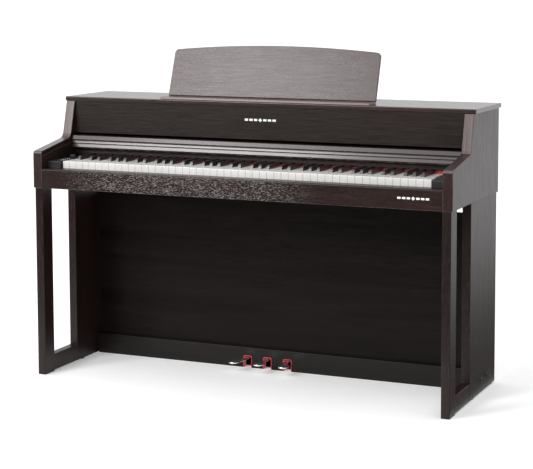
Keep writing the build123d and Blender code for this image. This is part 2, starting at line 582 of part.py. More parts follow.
def note_list():
    """Every key as (octave, note name, X of its origin, is it white)."""
    keys = []
    for index in range(WHITE_COUNT):
        octave, step = divmod(index + FIRST_NOTE, len(WHITE_OF_OCTAVE))
        note = WHITE_OF_OCTAVE[step]
        x = (index - WHITE_COUNT / 2) * KEY_PITCH
        keys.append((octave, note, x, True))
        if note in BLACK_AFTER and index < WHITE_COUNT - 1:
            name, shift = BLACK_AFTER[note]
            keys.append((octave, name, x + KEY_PITCH + shift, False))
    return keys


def save_keys():
    """One octave as single keys; all the others as two groups of separate solids."""
    shapes = {note: white_key(note) for note in WHITE_OF_OCTAVE}
    sharp = black_key()
    groups = {"white_keys": [], "black_keys": []}
    for octave, note, x, is_white in note_list():
        key = Pos(x, 0, 0) * (shapes[note] if is_white else sharp)
        if octave == OWN_OCTAVE:
            save(f"key_{note}{octave}", key)
        else:
            groups["white_keys" if is_white else "black_keys"].append(key)
    for name, keys in groups.items():
        save(name, *keys)


# ---------------------------------------------------------------- key action frame
FRAME_HALF = 614.0
FRAME_T, RIB_T = 3.0, 3.0
FRAME_Z = (BED_Z + BOARD, BED_Z + BOARD + FRAME_T)
FRAME_Y, RIB_Y, RIB_TOP_Z = (-182.0, 50.0), (25.0, 45.0), 675.0
CROSS_RAILS = (((-175.0, -160.0), 655.0), ((-50.0, -30.0), 640.0))  # along Y, and height of the top
RIB_SHIFT = 0.25            # puts a rib in the middle of the gap between two key levers


def rib_places():
    """Ribs that hold the pivot rod: both ends and every gap between B and C."""
    end = FRAME_HALF - RIB_T / 2
    return [-end, end] + [x + RIB_SHIFT for octave, note, x, _ in note_list() if note == "c" and octave < 8]


def key_frame():
    """Pressed steel tray with two cross rails and a row of ribs for the pivot rod."""
    span, root = (-FRAME_HALF, FRAME_HALF), FRAME_Z[1] - CUT
    frame = block(span, FRAME_Y, FRAME_Z)
    for y, top in CROSS_RAILS:
        frame += block(span, y, (root, top))
    for x in rib_places():
        frame += block((x - RIB_T / 2, x + RIB_T / 2), RIB_Y, (root, RIB_TOP_Z))
        frame -= rod_x(KEY_ROD_R + 0.02, x - RIB_T, x + RIB_T, PIVOT_Y, PIVOT_Z)
    return frame


def key_pivot_rod():
    return rod_x(KEY_ROD_R, -FRAME_HALF, FRAME_HALF, PIVOT_Y, PIVOT_Z)


# ---------------------------------------------------------------- electronics
PRINT_T = 1.6
SENSOR_HALF, SENSOR_Y, SENSOR_Z = 600.0, (-58.0, -24.0), 640.0
DOME_R, DOME_TIP_R, DOME_H, DOME_Y = 4.0, 2.5, 6.0, -40.0
MAIN_X, MAIN_Y, MAIN_LIFT = (-150.0, 150.0), (80.0, 200.0), 6.0
POST_IN, POST_R = 10.0, 4.0
# Parts on the main board: middle in X and Y, width, depth, height.
CHIPS = ((-90, 120, 30, 30, 4), (-20, 150, 22, 22, 3), (80, 150, 60, 50, 30), (20, 105, 40, 10, 8))


def sensor_board():
    """Long board under the keys with a rubber dome below every one of them."""
    board = block((-SENSOR_HALF, SENSOR_HALF), SENSOR_Y, (SENSOR_Z, SENSOR_Z + PRINT_T))
    for _, note, x, is_white in note_list():
        centre = x + sum(tail_edges(note)) / 2 if is_white else x
        board += Pos(centre, DOME_Y, SENSOR_Z + PRINT_T + DOME_H / 2 - 0.1) * Cone(DOME_R, DOME_TIP_R, DOME_H)
    return board


def main_board():
    """Board on four posts with its chips, its supply and its amplifier block."""
    floor = BED_Z + BOARD
    low, top = floor + MAIN_LIFT, floor + MAIN_LIFT + PRINT_T
    board = block(MAIN_X, MAIN_Y, (low, top))
    for x, y, width, depth, height in CHIPS:
        sides = ((x - width / 2, x + width / 2), (y - depth / 2, y + depth / 2))
        board += block(*sides, (top - 0.1, top + height))
    for x in (MAIN_X[0] + POST_IN, MAIN_X[1] - POST_IN):
        for y in (MAIN_Y[0] + POST_IN, MAIN_Y[1] - POST_IN):
            board += rod_z(POST_R, x, y, floor, low + PRINT_T / 2)
    return board


def circuit_boards():
    return [sensor_board(), main_board()]


def jack_plate():
    """Plate on the cabinet back with the power inlet and four round sockets."""
    (x0, x1), (z0, z1) = SOCKET_PLATE_X, SOCKET_PLATE_Z
    face, inset = SIDE_BACK_Y, SOCKET_BODY_IN
    plate = block((x0, x1), (face, face + SOCKET_PLATE_T), (z0, z1))
    plate += block((x0 + inset, x1 - inset), (face - SOCKET_BODY_DEPTH, face + CUT), (z0 + inset, z1 - inset))
    plate -= block(INLET_X, (face - INLET_DEPTH, face + SOCKET_PLATE_T + CUT), INLET_Z)
    for i in range(JACK_COUNT):
        x, z = x0 + JACK_START + JACK_PITCH * i, (z0 + z1) / 2
        plate += rod_y(JACK_R, x, face + CUT, face + JACK_RISE, z)
        plate -= rod_y(JACK_BORE_R, x, face + SOCKET_PLATE_T + 0.5, face + JACK_RISE + CUT, z)
    return plate


BASKET_R, BASKET_T = 62.0, 4.0
CONE_R, CONE_NECK_R, CONE_DEPTH = 54.0, 26.0, 26.0
HOLLOW_R, HOLLOW_NECK_R, HOLLOW_DEPTH = 50.0, 20.0, 22.0
MAGNET_R, MAGNET_Z = 34.0, (28.0, 46.0)


def speakers():
    """Two speaker drivers that fire down through the key bed."""
    floor = BED_Z + BOARD
    drivers = []
    for x in (-SPEAKER_X, SPEAKER_X):
        driver = rod_z(BASKET_R, x, SPEAKER_Y, floor, floor + BASKET_T)
        cone_z = floor + BASKET_T - CUT + CONE_DEPTH / 2
        driver += Pos(x, SPEAKER_Y, cone_z) * Cone(CONE_R, CONE_NECK_R, CONE_DEPTH)
        driver += rod_z(MAGNET_R, x, SPEAKER_Y, floor + MAGNET_Z[0], floor + MAGNET_Z[1])
        mouth = Cone(HOLLOW_R, HOLLOW_NECK_R, HOLLOW_DEPTH)
        drivers.append(driver - Pos(x, SPEAKER_Y, floor - CUT + HOLLOW_DEPTH / 2) * mouth)
    return drivers


# ---------------------------------------------------------------- music rest
REST_FOOT, REST_TOP_IN, REST_CORNER = -2.5, 1.0, 14.0
LEDGE_Y, LEDGE_T, LEDGE_LEAN, LEDGE_ROUND = (-18.0, 42.0), 7.0, 3.0, 1.5
HINGE_X = (-250.0, 250.0)
PIN_R, PIN_HALF, KNUCKLE_R = 2.0, 20.0, 4.0
FOOT_HALF_X, FOOT_Y, PLATE_T = 22.0, (-7.0, 12.0), 1.5
EAR_MIDDLE, EAR_HALF = 18.0, 2.0
LEAF_HALF, LEAF_UP, LEAF_HOLD = 15.0, (4.0, 30.0), 5.0
BASE_HALF, BASE_TALL, CHEEK_MIDDLE, CHEEK_HALF, CHEEK_TALL, CHEEK_OUT = 34.0, 14.0, 31.0, 1.5, 5.0, 4.5
STAY_HALF, STAY_T, STAY_EYE_R, STAY_FOOT_R, STAY_OFF = 26.0, 2.0, 3.6, 3.0, 1.5
STAY_IN = 3.0               # the strip stops this far short of the middle of each round end
STAY_WINDOW_HALF, STAY_WINDOW_IN = 14.0, 16.0
PIVOT_PLAY = 0.05


def lean(shape):
    """Stand a piece drawn upright against the hinge line at its resting lean."""
    return Pos(0, REST_Y, REST_Z) * Rot(-REST_LEAN, 0, 0) * shape


def rest_panel():
    """Wide thin panel with rounded upper corners and a softly arched top edge."""
    side_top, top, half_top = REST_HEIGHT, REST_HEIGHT + REST_ARCH, REST_HALF - REST_TOP_IN
    arch = ThreePointArc((half_top, side_top), (0, top), (-half_top, side_top))
    corners = [(-half_top, side_top), (-REST_HALF, REST_FOOT), (REST_HALF, REST_FOOT), (half_top, side_top)]
    face = make_face([arch, Polyline(*corners)])
    for side in (-1, 1):
        corner = face.vertices().sort_by_distance((side * half_top, side_top, 0))[0]
        face = fillet(corner, REST_CORNER)
    panel = extrude(Plane.XZ * face, amount=REST_T, dir=(0, -1, 0))
    return lean(Pos(0, -REST_BACK_OFFSET, 0) * panel)


def rest_ledge():
    """Low shelf on the lid that the books stand on."""
    (front, back), top = LEDGE_Y, TOP_Z + LEDGE_T
    points = [(front, TOP_Z, 0), (front + LEDGE_LEAN, top, LEDGE_ROUND), (back, top, 1), (back, TOP_Z, 0)]
    return slab_x(points, -REST_HALF, REST_HALF)


def rest_hinges():
    """Two ears and a pin at each hinge, screwed to the lid."""
    hinges = []
    for x in HINGE_X:
        foot_y = (REST_Y + FOOT_Y[0], REST_Y + FOOT_Y[1])
        hinge = block((x - FOOT_HALF_X, x + FOOT_HALF_X), foot_y, (TOP_Z, TOP_Z + PLATE_T))
        for ear in (x - EAR_MIDDLE, x + EAR_MIDDLE):
            x0, x1 = ear - EAR_HALF, ear + EAR_HALF
            hinge += block((x0, x1), (REST_Y - KNUCKLE_R, REST_Y + KNUCKLE_R), (TOP_Z, REST_Z))
            hinge += rod_x(KNUCKLE_R, x0, x1, REST_Y, REST_Z)
        hinges.append(hinge + rod_x(PIN_R, x - PIN_HALF, x + PIN_HALF, REST_Y, REST_Z))
    return hinges


def hinge_leaf(x):
    """Leaf on the back of the panel with the knuckle that turns on the hinge's pin."""
    back, wide = -REST_BACK_OFFSET, (x - LEAF_HALF, x + LEAF_HALF)
    leaf = block(wide, (back, back + PLATE_T), LEAF_UP) + block(wide, (back, back + PLATE_T), (0, LEAF_HOLD))
    leaf += rod_x(KNUCKLE_R, *wide, 0, 0)
    return lean(leaf - rod_x(PIN_R + PIVOT_PLAY, x - PIN_HALF, x + PIN_HALF, 0, 0))


def stay_bracket():
    """Plate with two cheeks and a pin, which the stay hangs from."""
    back, plate_z = -REST_BACK_OFFSET, (STAY_UP - BASE_TALL, STAY_UP + BASE_TALL)
    bracket = block((-BASE_HALF, BASE_HALF), (back, back + PLATE_T), plate_z)
    for middle in (-CHEEK_MIDDLE, CHEEK_MIDDLE):
        cheek_x = (middle - CHEEK_HALF, middle + CHEEK_HALF)
        bracket += block(cheek_x, (back, CHEEK_OUT), (STAY_UP - CHEEK_TALL, STAY_UP + CHEEK_TALL))
    pin_end = CHEEK_MIDDLE + CHEEK_HALF / 2
    return lean(bracket + rod_x(PIN_R, -pin_end, pin_end, STAY_OFF, STAY_UP))


def rest_brackets():
    """Everything that is screwed to the back of the panel."""
    return [hinge_leaf(x) for x in HINGE_X] + [stay_bracket()]


def rest_stay():
    """Flat steel stay: hangs from the panel's bracket and stands on the lid."""
    foot = -STAY_LENGTH + STAY_IN
    stay = block((-STAY_HALF, STAY_HALF), (-STAY_T / 2, STAY_T / 2), (foot, -STAY_IN))
    stay += rod_x(STAY_EYE_R, -STAY_HALF, STAY_HALF, 0, 0)
    stay += rod_x(STAY_FOOT_R, -STAY_HALF, STAY_HALF, 0, foot)
    window_z = (-STAY_LENGTH + STAY_WINDOW_IN, -STAY_WINDOW_IN)
    stay -= block((-STAY_WINDOW_HALF, STAY_WINDOW_HALF), (-STAY_T, STAY_T), window_z)
    stay -= rod_x(PIN_R + PIVOT_PLAY, -STAY_HALF - CUT, STAY_HALF + CUT, 0, 0)
    return lean(Pos(0, STAY_OFF, STAY_UP) * Rot(STAY_SPREAD, 0, 0) * stay)


# ---------------------------------------------------------------- write every node
def main():
    os.makedirs("parts", exist_ok=True)
    for name, maker in (("front_post", front_post), ("foot_rail", foot_rail), ("rear_panel", rear_panel),
                        ("side_panel", side_panel)):
        right = maker()
        save(f"right_{name}", right)
        save(f"left_{name}", both(right))
    for side in ("left", "right"):
        save(f"{side}_cheek_block", cheek_block(side))
    rack = cover_rack()
    groups = {
        "stand_bolts": stand_bolts(), "floor_glides": floor_glides(), "slot_felts": slot_felts(),
        "pedal_springs": pedal_springs(), "function_buttons": function_buttons(),
        "circuit_boards": circuit_boards(), "speakers": speakers(), "rest_hinges": rest_hinges(),
        "rest_brackets": rest_brackets(), "cover_racks": [rack, both(rack)]}
    for name, pieces in groups.items():
        save(name, *pieces)
    for maker in (back_panel, pedal_rail, pedal_box, pedal_axle, top_lid, front_panel, name_rail, name_felt,
                  key_slip, key_bed, cabinet_back, volume_knob, power_button, cover_rail, cover_panel,
                  cover_shaft, key_frame, key_pivot_rod, jack_plate, rest_panel, rest_ledge, rest_stay):
        save(maker.__name__, maker())
    for name in PEDAL_X:
        save(name, pedal(name))
    save_keys()


main()
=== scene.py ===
# %% [markdown]
# # A digital piano on its stand
# The piano is a wooden cabinet with 88 keys, a sliding key cover, a music rest and three pedals.
# Its sizes and its moving bodies are fixed by the frame, so this script only gives it its looks.
# Everything is in metres: X runs along the keyboard, Y from the player to the wall, Z up.

# %% Load the frame
import json
import math
import random

import bmesh
import bpy
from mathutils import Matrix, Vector


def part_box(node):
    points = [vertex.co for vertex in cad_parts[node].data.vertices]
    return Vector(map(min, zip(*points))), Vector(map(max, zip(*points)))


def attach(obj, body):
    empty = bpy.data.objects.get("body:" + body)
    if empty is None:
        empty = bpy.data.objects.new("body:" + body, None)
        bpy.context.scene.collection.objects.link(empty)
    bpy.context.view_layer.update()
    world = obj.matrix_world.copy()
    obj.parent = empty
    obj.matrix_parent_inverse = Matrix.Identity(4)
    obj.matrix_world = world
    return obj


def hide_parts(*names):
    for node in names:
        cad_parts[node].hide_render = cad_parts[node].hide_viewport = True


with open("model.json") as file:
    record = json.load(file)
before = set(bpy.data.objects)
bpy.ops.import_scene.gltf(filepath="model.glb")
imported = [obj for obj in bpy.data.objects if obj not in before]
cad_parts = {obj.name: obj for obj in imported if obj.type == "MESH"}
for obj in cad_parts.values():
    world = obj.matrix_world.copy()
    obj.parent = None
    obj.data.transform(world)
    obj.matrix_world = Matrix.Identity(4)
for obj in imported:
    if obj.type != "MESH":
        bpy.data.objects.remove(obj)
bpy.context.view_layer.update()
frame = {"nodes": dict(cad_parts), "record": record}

MM = 0.001

# %% [markdown]
# Every piece rides on a body and may stand for plain solids. That could be typed out for each
# piece. The record already knows the body and the finish of each node, so two small dictionaries
# look them up, and one function puts a piece on its node's body and hides the nodes it stands for.

# %% Who rides on what
RECORD = frame["record"]
BODY_OF = {node: body for body, nodes in RECORD["behaviour"]["bodies"].items() for node in nodes}
FINISH_OF = {part["node"]: part["material_slot"] for part in RECORD["subparts"]}


def settle(piece, node, stands_for=()):
    """The piece rides with that node's body, and may replace some nodes."""
    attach(piece, BODY_OF[node])
    if stands_for:
        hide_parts(*stands_for)
    return piece


# %% [markdown]
# ## Finishes
# A finish is a small tree of nodes. It could be built by hand in the shader editor, but a script
# makes it the same each time. Each one here starts from the same three things: object coordinates,
# so that the pattern sticks to the wood when a part moves, a mapping that stretches the pattern,
# and the Principled shader. A few helpers keep the trees short to read.

# %% Helpers for finishes
SHARE_IN, FIRST_IN, SECOND_IN, MIXED_OUT = 0, 6, 7, 2      # a Mix node's sockets when it mixes colours


def add(tree, kind, **values):
    """A shader node; names that match an input set its value, the others set a property."""
    made = tree.nodes.new("ShaderNode" + kind)
    for name, value in values.items():
        socket = made.inputs.get(name.replace("_", " "))
        if socket is not None:
            socket.default_value = value
        else:
            setattr(made, name, value)
    return made


def start_finish(name, **values):
    """A new material with its tree, its shader and its object coordinates."""
    finish = bpy.data.materials.new(name)
    finish.use_nodes = True
    tree = finish.node_tree
    shader = tree.nodes["Principled BSDF"]
    for key, value in values.items():
        shader.inputs[key.replace("_", " ")].default_value = value
    place = add(tree, "TexCoord").outputs["Object"]
    return finish, tree, shader, place


def stretched(tree, place, scale, shift=(0, 0, 0)):
    """The coordinates times a scale for each axis: patterns per metre."""
    mapping = add(tree, "Mapping")
    mapping.inputs["Scale"].default_value = scale
    mapping.inputs["Location"].default_value = shift
    tree.links.new(place, mapping.inputs["Vector"])
    return mapping.outputs["Vector"]


def noise(tree, vector, scale=1.0, detail=3.0, roughness=0.6, distortion=0.0):
    """A cloudy value between 0 and 1 at each point."""
    made = add(tree, "TexNoise", Scale=scale, Detail=detail, Roughness=roughness, Distortion=distortion)
    tree.links.new(vector, made.inputs["Vector"])
    return made.outputs["Fac"]


def ramp(tree, value, stops):
    """A colour ramp from (position, colour or grey) stops."""
    made = add(tree, "ValToRGB")
    while len(made.color_ramp.elements) < len(stops):
        made.color_ramp.elements.new(0.5)
    for element, (position, colour) in zip(made.color_ramp.elements, stops):
        element.position = position
        element.color = (*colour, 1) if isinstance(colour, tuple) else (colour, colour, colour, 1)
    tree.links.new(value, made.inputs["Fac"])
    return made.outputs["Color"]


def combine(tree, how, first, second, share=1.0):
    """Two values or colours mixed: how is MIX, ADD, MULTIPLY and so on."""
    made = add(tree, "Mix", data_type="RGBA", blend_type=how)
    for index, source in ((SHARE_IN, share), (FIRST_IN, first), (SECOND_IN, second)):
        if isinstance(source, (int, float)) and index != SHARE_IN:
            made.inputs[index].default_value = (source, source, source, 1)
        elif isinstance(source, (int, float)):
            made.inputs[index].default_value = source
        elif isinstance(source, tuple):
            made.inputs[index].default_value = (*source, 1)
        else:
            tree.links.new(source, made.inputs[index])
    return made.outputs[MIXED_OUT]


def bumps(tree, shader, height, strength, distance, on_coat=False):
    """Lets a height tilt the surface, and the lacquer over it when on_coat is set."""
    made = add(tree, "Bump", Strength=strength, Distance=distance)
    tree.links.new(height, made.inputs["Height"])
    tree.links.new(made.outputs["Normal"], shader.inputs["Normal"])
    if on_coat:
        tree.links.new(made.outputs["Normal"], shader.inputs["Coat Normal"])


print("finish helpers ready")

# %% [markdown]
# ### Rosewood veneer
# The case is covered with a dark, open-pored veneer under satin lacquer. The pores are short
# dashes along the grain that catch the light. They could be cut into the mesh, but they are finer
# than a hair, so they go into the roughness, the bump and the colour, where their pale colour is
# partly a painted glint. The grain runs along X on the long boards and upright on the posts and
# sides, so one function makes all kinds.
# Rounded edges are worn a little lighter: the mesh marks those faces in an attribute called edge,
# and the finish reads it.

# %% Grain, pores and worn edges
ALONG = {"x": (1, 0, 0), "y": (0, 1, 0), "z": (0, 0, 1), "band": (0, 1, 1)}
FIGURE, FIBRES, PORES = (1.3, 24), (9, 430), (95, 560)     # patterns per metre, along and across
PORE_SHIFT = (3, 5, 7)           # so that the pores don't follow the fibres
# The slip's pale pores are a painted glint gathered round a middle along X; this is how far it reaches.
GLINT_REACH = 0.62             # how far gathered pores spread from their middle
# The pale pore colour also defaults to this, and there it is partly a painted glint.
BARE_AND_PORE_GLINT = (0.12, 0.085, 0.075)      # wood where the stain has been rubbed off


def grain_scale(grain, pattern, fine=1.0):
    """A pattern's scale on each axis: few along the grain, many across it."""
    along, across = pattern
    return tuple((along if pick else across) * fine for pick in ALONG[grain])


def glint_gather(tree, place, middle):
    """A mask along X for a painted glint: one in the middle, falling to almost nothing at the end of its
    reach.
    """
    shifted = stretched(tree, place, (1 / GLINT_REACH, 0, 0), (-middle / GLINT_REACH, 0, 0))
    ball = add(tree, "TexGradient", gradient_type="SPHERICAL")
    tree.links.new(shifted, ball.inputs["Vector"])
    return ramp(tree, ball.outputs["Fac"], [(0.30, 0.05), (0.60, 1.0)])


def pore_dashes(tree, place, grain, fine, open_at, middle):
    """Short dashes along the grain, in clouds, or gathered round a middle along X if one is given, to place
    a painted glint.
    """
    pore_place = stretched(tree, place, grain_scale(grain, PORES, fine), PORE_SHIFT)
    pores = noise(tree, pore_place, detail=2, roughness=0.5)
    dashes = ramp(tree, pores, [(open_at, 0.0), (open_at + 0.08, 1.0)])
    if middle is None:
        share = ramp(tree, noise(tree, place, scale=2.2, detail=2), [(0.35, 0.35), (0.65, 1.0)])
    else:
        share = glint_gather(tree, place, middle)
    return combine(tree, "MULTIPLY", dashes, share)


def worn_edges(tree, place):
    """Where the marked edges are rubbed, in patches."""
    edge = add(tree, "Attribute", attribute_name="edge").outputs["Fac"]
    rub = noise(tree, place, scale=60, detail=4)
    return combine(tree, "MULTIPLY", edge, ramp(tree, rub, [(0.40, 0.05), (0.62, 0.6)]))


# %% Veneer
def veneer(name, grain, dark, light, shine=0.34, coat=0.22, blur=0.24, pore=0.5, pore_colour_and_glint=BARE_AND_PORE_GLINT,
           relief=0.45, fine=1.0, streaks=0.9, open_at=0.58, middle=None):
    """Stained wood under satin lacquer, with its grain along one axis and a pale colour in its pores that
    is partly a painted glint.
    """
    finish, tree, shader, place = start_finish(
        name, Specular_IOR_Level=shine, Coat_Weight=coat, Coat_Roughness=blur, Coat_IOR=1.5)
    figure = noise(tree, stretched(tree, place, grain_scale(grain, FIGURE)), detail=4, distortion=0.6)
    fibre_place = stretched(tree, place, grain_scale(grain, FIBRES, fine))
    fibre = noise(tree, fibre_place, detail=5, roughness=0.7)
    dashes = pore_dashes(tree, place, grain, fine, open_at, middle)
    wood = combine(tree, "MIX", dark, light, ramp(tree, figure, [(0.30, 0.0), (0.72, 1.0)]))
    wood = combine(tree, "MULTIPLY", wood, ramp(tree, fibre, [(0.36, 0.40), (0.64, 1.0)]), streaks)
    # Pale pore colour: partly the pores' own colour, partly a painted glint on them.
    wood = combine(tree, "MIX", wood, pore_colour_and_glint, combine(tree, "MULTIPLY", dashes, pore * 0.35))
    rubbed = tuple(min(pair) for pair in zip(pore_colour_and_glint, BARE_AND_PORE_GLINT))
    wood = combine(tree, "MIX", wood, rubbed, worn_edges(tree, place))
    tree.links.new(wood, shader.inputs["Base Color"])
    gloss = ramp(tree, fibre, [(0.34, 0.28), (0.66, 0.50)])
    gloss = combine(tree, "ADD", gloss, combine(tree, "MULTIPLY", dashes, 0.15))
    tree.links.new(gloss, shader.inputs["Roughness"])
    ridges = combine(tree, "MULTIPLY", fibre, 0.25)
    pits = combine(tree, "MULTIPLY", dashes, pore)
    bumps(tree, shader, combine(tree, "SUBTRACT", ridges, pits), relief, 0.6 * MM, on_coat=True)
    return finish


# %% [markdown]
# One function gives every wood of the piano, so the boards look like one family. What differs is
# the stain, the lacquer and how open the pores are. The lid and the music rest are lacquered more,
# the board behind the knees almost not at all. The slip in front of the keys has the most open
# pores, with a painted glint in their pale colour that is strongest left of its middle. Edges that
# lean towards the player are painted lighter, as a painted sheen.

# %% The woods of the piano
DARK, LIGHT = (0.0210, 0.0084, 0.0067), (0.0430, 0.0186, 0.0150)
UPRIGHT_DARK, UPRIGHT_LIGHT = (0.0105, 0.0043, 0.0036), (0.0215, 0.0094, 0.0078)
VENEER_X = veneer("rosewood_along", "x", DARK, LIGHT)
VENEER_Z = veneer("rosewood_upright", "z", UPRIGHT_DARK, UPRIGHT_LIGHT, shine=0.30, coat=0.16)
VENEER_LEG = veneer("rosewood_legs", "z", UPRIGHT_DARK, UPRIGHT_LIGHT, shine=0.27, coat=0.09)
VENEER_Y = veneer("rosewood_rails", "y", UPRIGHT_DARK, UPRIGHT_LIGHT, shine=0.27, coat=0.09)
BANDING = veneer("rosewood_edge_band", "band", DARK, LIGHT, coat=0.8, blur=0.20, relief=0.12)
# The band on faces that lean towards the player is painted several times lighter, a painted sheen for the
# light those faces catch.
BAND_WITH_PAINTED_SHEEN = veneer("rosewood_band_painted_sheen", "band", (0.100, 0.072, 0.069), (0.170, 0.130, 0.126),
                    coat=0.3, relief=0.2, fine=0.8)
VENEER_LID = veneer("rosewood_lid", "x", DARK, LIGHT, shine=0.42, coat=0.6, blur=0.2, relief=0.2)
VENEER_REST = veneer("rosewood_rest", "x", (0.042, 0.0175, 0.0165), (0.064, 0.0300, 0.0285),
                     shine=0.40, coat=0.35, pore=0.25, relief=0.32, fine=1.4)
VENEER_LEDGE = veneer("rosewood_ledge", "x", (0.135, 0.082, 0.080), (0.185, 0.118, 0.116),
                      shine=0.40, coat=0.35, pore=0.2, relief=0.12, fine=1.7, streaks=0.4)
# The slip's pale pore colour, gathered round X = -0.16, is a painted glint on its pores.
SLIP_VENEER_AND_GLINTS = veneer("rosewood_open_pored_painted_glints", "x", (0.0155, 0.0062, 0.0050), (0.0310, 0.0132, 0.0106),
                     shine=0.25, coat=0.10, pore=1.7, pore_colour_and_glint=(0.36, 0.34, 0.33), fine=1.45,
                     open_at=0.555, middle=-0.16)
VENEER_SMOOTH = veneer("rosewood_smooth", "x", (0.0205, 0.0120, 0.0102), (0.0245, 0.0147, 0.0125),
                       shine=0.32, coat=0.18, pore=0.08, relief=0.15)
KNEE_BOARD = veneer("knee_board", "x", (0.0060, 0.0037, 0.0031), (0.0130, 0.0086, 0.0074),
                    shine=0.12, coat=0.0, pore=0.35, pore_colour_and_glint=(0.03, 0.022, 0.019))
PEDAL_BOARD = veneer("pedal_rail_board", "x", (0.0080, 0.0055, 0.0048), (0.0150, 0.0108, 0.0095),
                     shine=0.25, coat=0.0, pore=0.35, pore_colour_and_glint=(0.05, 0.038, 0.034))
LAMINATE = veneer("dark_laminate", "x", (0.006, 0.005, 0.0048), (0.012, 0.010, 0.0096),
                  shine=0.25, coat=0.0, pore=0.2)
RAIL_LACQUER = veneer("cover_lacquer", "x", (0.030, 0.013, 0.013), (0.046, 0.021, 0.021),
                      shine=0.5, coat=0.9, blur=0.18, pore=0.05, relief=0.08, fine=1.5, streaks=0.5)
WOODS = (VENEER_X, VENEER_Z, VENEER_LEG, VENEER_Y, BANDING, BAND_WITH_PAINTED_SHEEN, VENEER_LID, VENEER_REST,
         VENEER_LEDGE, SLIP_VENEER_AND_GLINTS, VENEER_SMOOTH, KNEE_BOARD, PEDAL_BOARD, LAMINATE, RAIL_LACQUER)
print("woods:", [wood.name for wood in WOODS])

# %% [markdown]
# ### Key plastics
# White keys are moulded in an off-white plastic with a satin top that hands polish unevenly.
# Black keys are a little rougher and catch a soft highlight on their sloped fronts. One even
# colour would look like paper, and a strong noise like stone. So two near tones, a fine noise in
# the roughness and a very shallow bump are enough.


# %% Plastics
def plastic(name, low, high, rough, coat=0.0, grain=900, depth=0.02, rub=0.3):
    """Moulded plastic: two near tones, uneven gloss and a fine moulded grain."""
    finish, tree, shader, place = start_finish(name, Coat_Weight=coat, Coat_Roughness=0.12)
    patch = noise(tree, place, scale=9, detail=4)
    fine = noise(tree, place, scale=grain, detail=2)
    edge = add(tree, "Attribute", attribute_name="edge").outputs["Fac"]
    colour = combine(tree, "MIX", low, high, ramp(tree, patch, [(0.3, 0.0), (0.7, 1.0)]))
    lighter = tuple(min(1.0, c * 1.3 + 0.012) for c in high)
    colour = combine(tree, "MIX", colour, lighter, combine(tree, "MULTIPLY", edge, rub))
    tree.links.new(colour, shader.inputs["Base Color"])
    gloss = combine(tree, "ADD", ramp(tree, patch, [(0.2, rough), (0.8, rough + 0.10)]),
                    combine(tree, "MULTIPLY", fine, 0.05))
    tree.links.new(gloss, shader.inputs["Roughness"])
    bumps(tree, shader, fine, depth, 0.2 * MM)
    return finish


IVORY = plastic("white_key_top", (0.71, 0.695, 0.675), (0.78, 0.765, 0.75), 0.22, coat=0.25,
                grain=1500, depth=0.03)
EBONY = plastic("black_key_top", (0.010, 0.010, 0.011), (0.018, 0.018, 0.019), 0.26, coat=0.3,
                grain=1300, depth=0.05)
CHEEK = plastic("cheek_plastic", (0.014, 0.0145, 0.014), (0.021, 0.0215, 0.021), 0.38, grain=1100,
                depth=0.12, rub=0.8)
PLATE = plastic("socket_plate_plastic", (0.013, 0.013, 0.014), (0.022, 0.022, 0.023), 0.5,
                grain=800, depth=0.3)
CAP = plastic("button_plastic", (0.030, 0.030, 0.031), (0.045, 0.045, 0.046), 0.35, grain=1300,
              depth=0.08)
CONE = plastic("speaker_cone", (0.012, 0.012, 0.012), (0.026, 0.026, 0.026), 0.62, grain=500,
               depth=0.5)
PALE = plastic("pale_mark", (0.72, 0.72, 0.71), (0.86, 0.86, 0.85), 0.35, coat=0.4, grain=400,
               depth=0.1)
print("plastics:", [kind.name for kind in (IVORY, EBONY, CHEEK, PLATE, CAP, CONE, PALE)])

# %% [markdown]
# ### Metals
# The pedals are plated and polished, with faint wiping marks. The music rest's hinges are zinc,
# brushed one way, and the bolts of the stand are blackened. A perfect mirror would look like a
# drawing, so the marks are a stretched noise in the roughness and the bump. The pedal box and the
# key frame are powder-coated, and their orange peel is a round noise, not a stretched one.


# %% Plated, brushed and coated metal
def metal(name, colour, rough, streak=(40, 40, 40), depth=0.05):
    """Bare or plated metal with directional wiping or brushing marks and a few dull spots."""
    finish, tree, shader, place = start_finish(name, Metallic=1.0)
    marks = noise(tree, stretched(tree, place, streak), detail=4, roughness=0.7)
    spots = noise(tree, place, scale=45, detail=5)
    darker = tuple(c * 0.82 for c in colour)
    shade = combine(tree, "MIX", colour, darker, ramp(tree, spots, [(0.45, 0.0), (0.75, 0.7)]))
    tree.links.new(shade, shader.inputs["Base Color"])
    gloss = ramp(tree, marks, [(0.3, max(rough - 0.03, 0.02)), (0.8, rough + 0.12)])
    tree.links.new(gloss, shader.inputs["Roughness"])
    bumps(tree, shader, marks, depth, 0.1 * MM)
    return finish


def powder_coat(name, low, high):
    """Thick black paint baked on sheet steel, with its orange-peel surface."""
    finish, tree, shader, place = start_finish(name, Specular_IOR_Level=0.4)
    peel = noise(tree, place, scale=420, detail=3)
    patch = noise(tree, place, scale=14, detail=3)
    tree.links.new(combine(tree, "MIX", low, high, patch), shader.inputs["Base Color"])
    tree.links.new(ramp(tree, peel, [(0.3, 0.38), (0.7, 0.55)]), shader.inputs["Roughness"])
    bumps(tree, shader, peel, 0.35, 0.3 * MM)
    return finish


CHROME = metal("polished_plating", (0.92, 0.92, 0.93), 0.13, streak=(30, 250, 30), depth=0.03)
ZINC = metal("brushed_zinc", (0.46, 0.46, 0.47), 0.30, streak=(60, 900, 900), depth=0.15)
BLACKENED = metal("blackened_zinc", (0.11, 0.11, 0.115), 0.34, streak=(600, 600, 600), depth=0.1)
COATED = powder_coat("black_powder_coat", (0.014, 0.014, 0.015), (0.03, 0.03, 0.031))
print("metals:", [kind.name for kind in (CHROME, ZINC, BLACKENED, COATED)])

# %% [markdown]
# ### Felt and circuit boards
# Felt is the opposite of metal: no gloss, a soft sheen at its edges and a deep woolly bump. Hair
# particles could make it too, but its strips are a few millimetres wide, so two layers of noise do.
# The circuit boards are hidden inside, and a brick pattern of thin lines stands for their tracks.


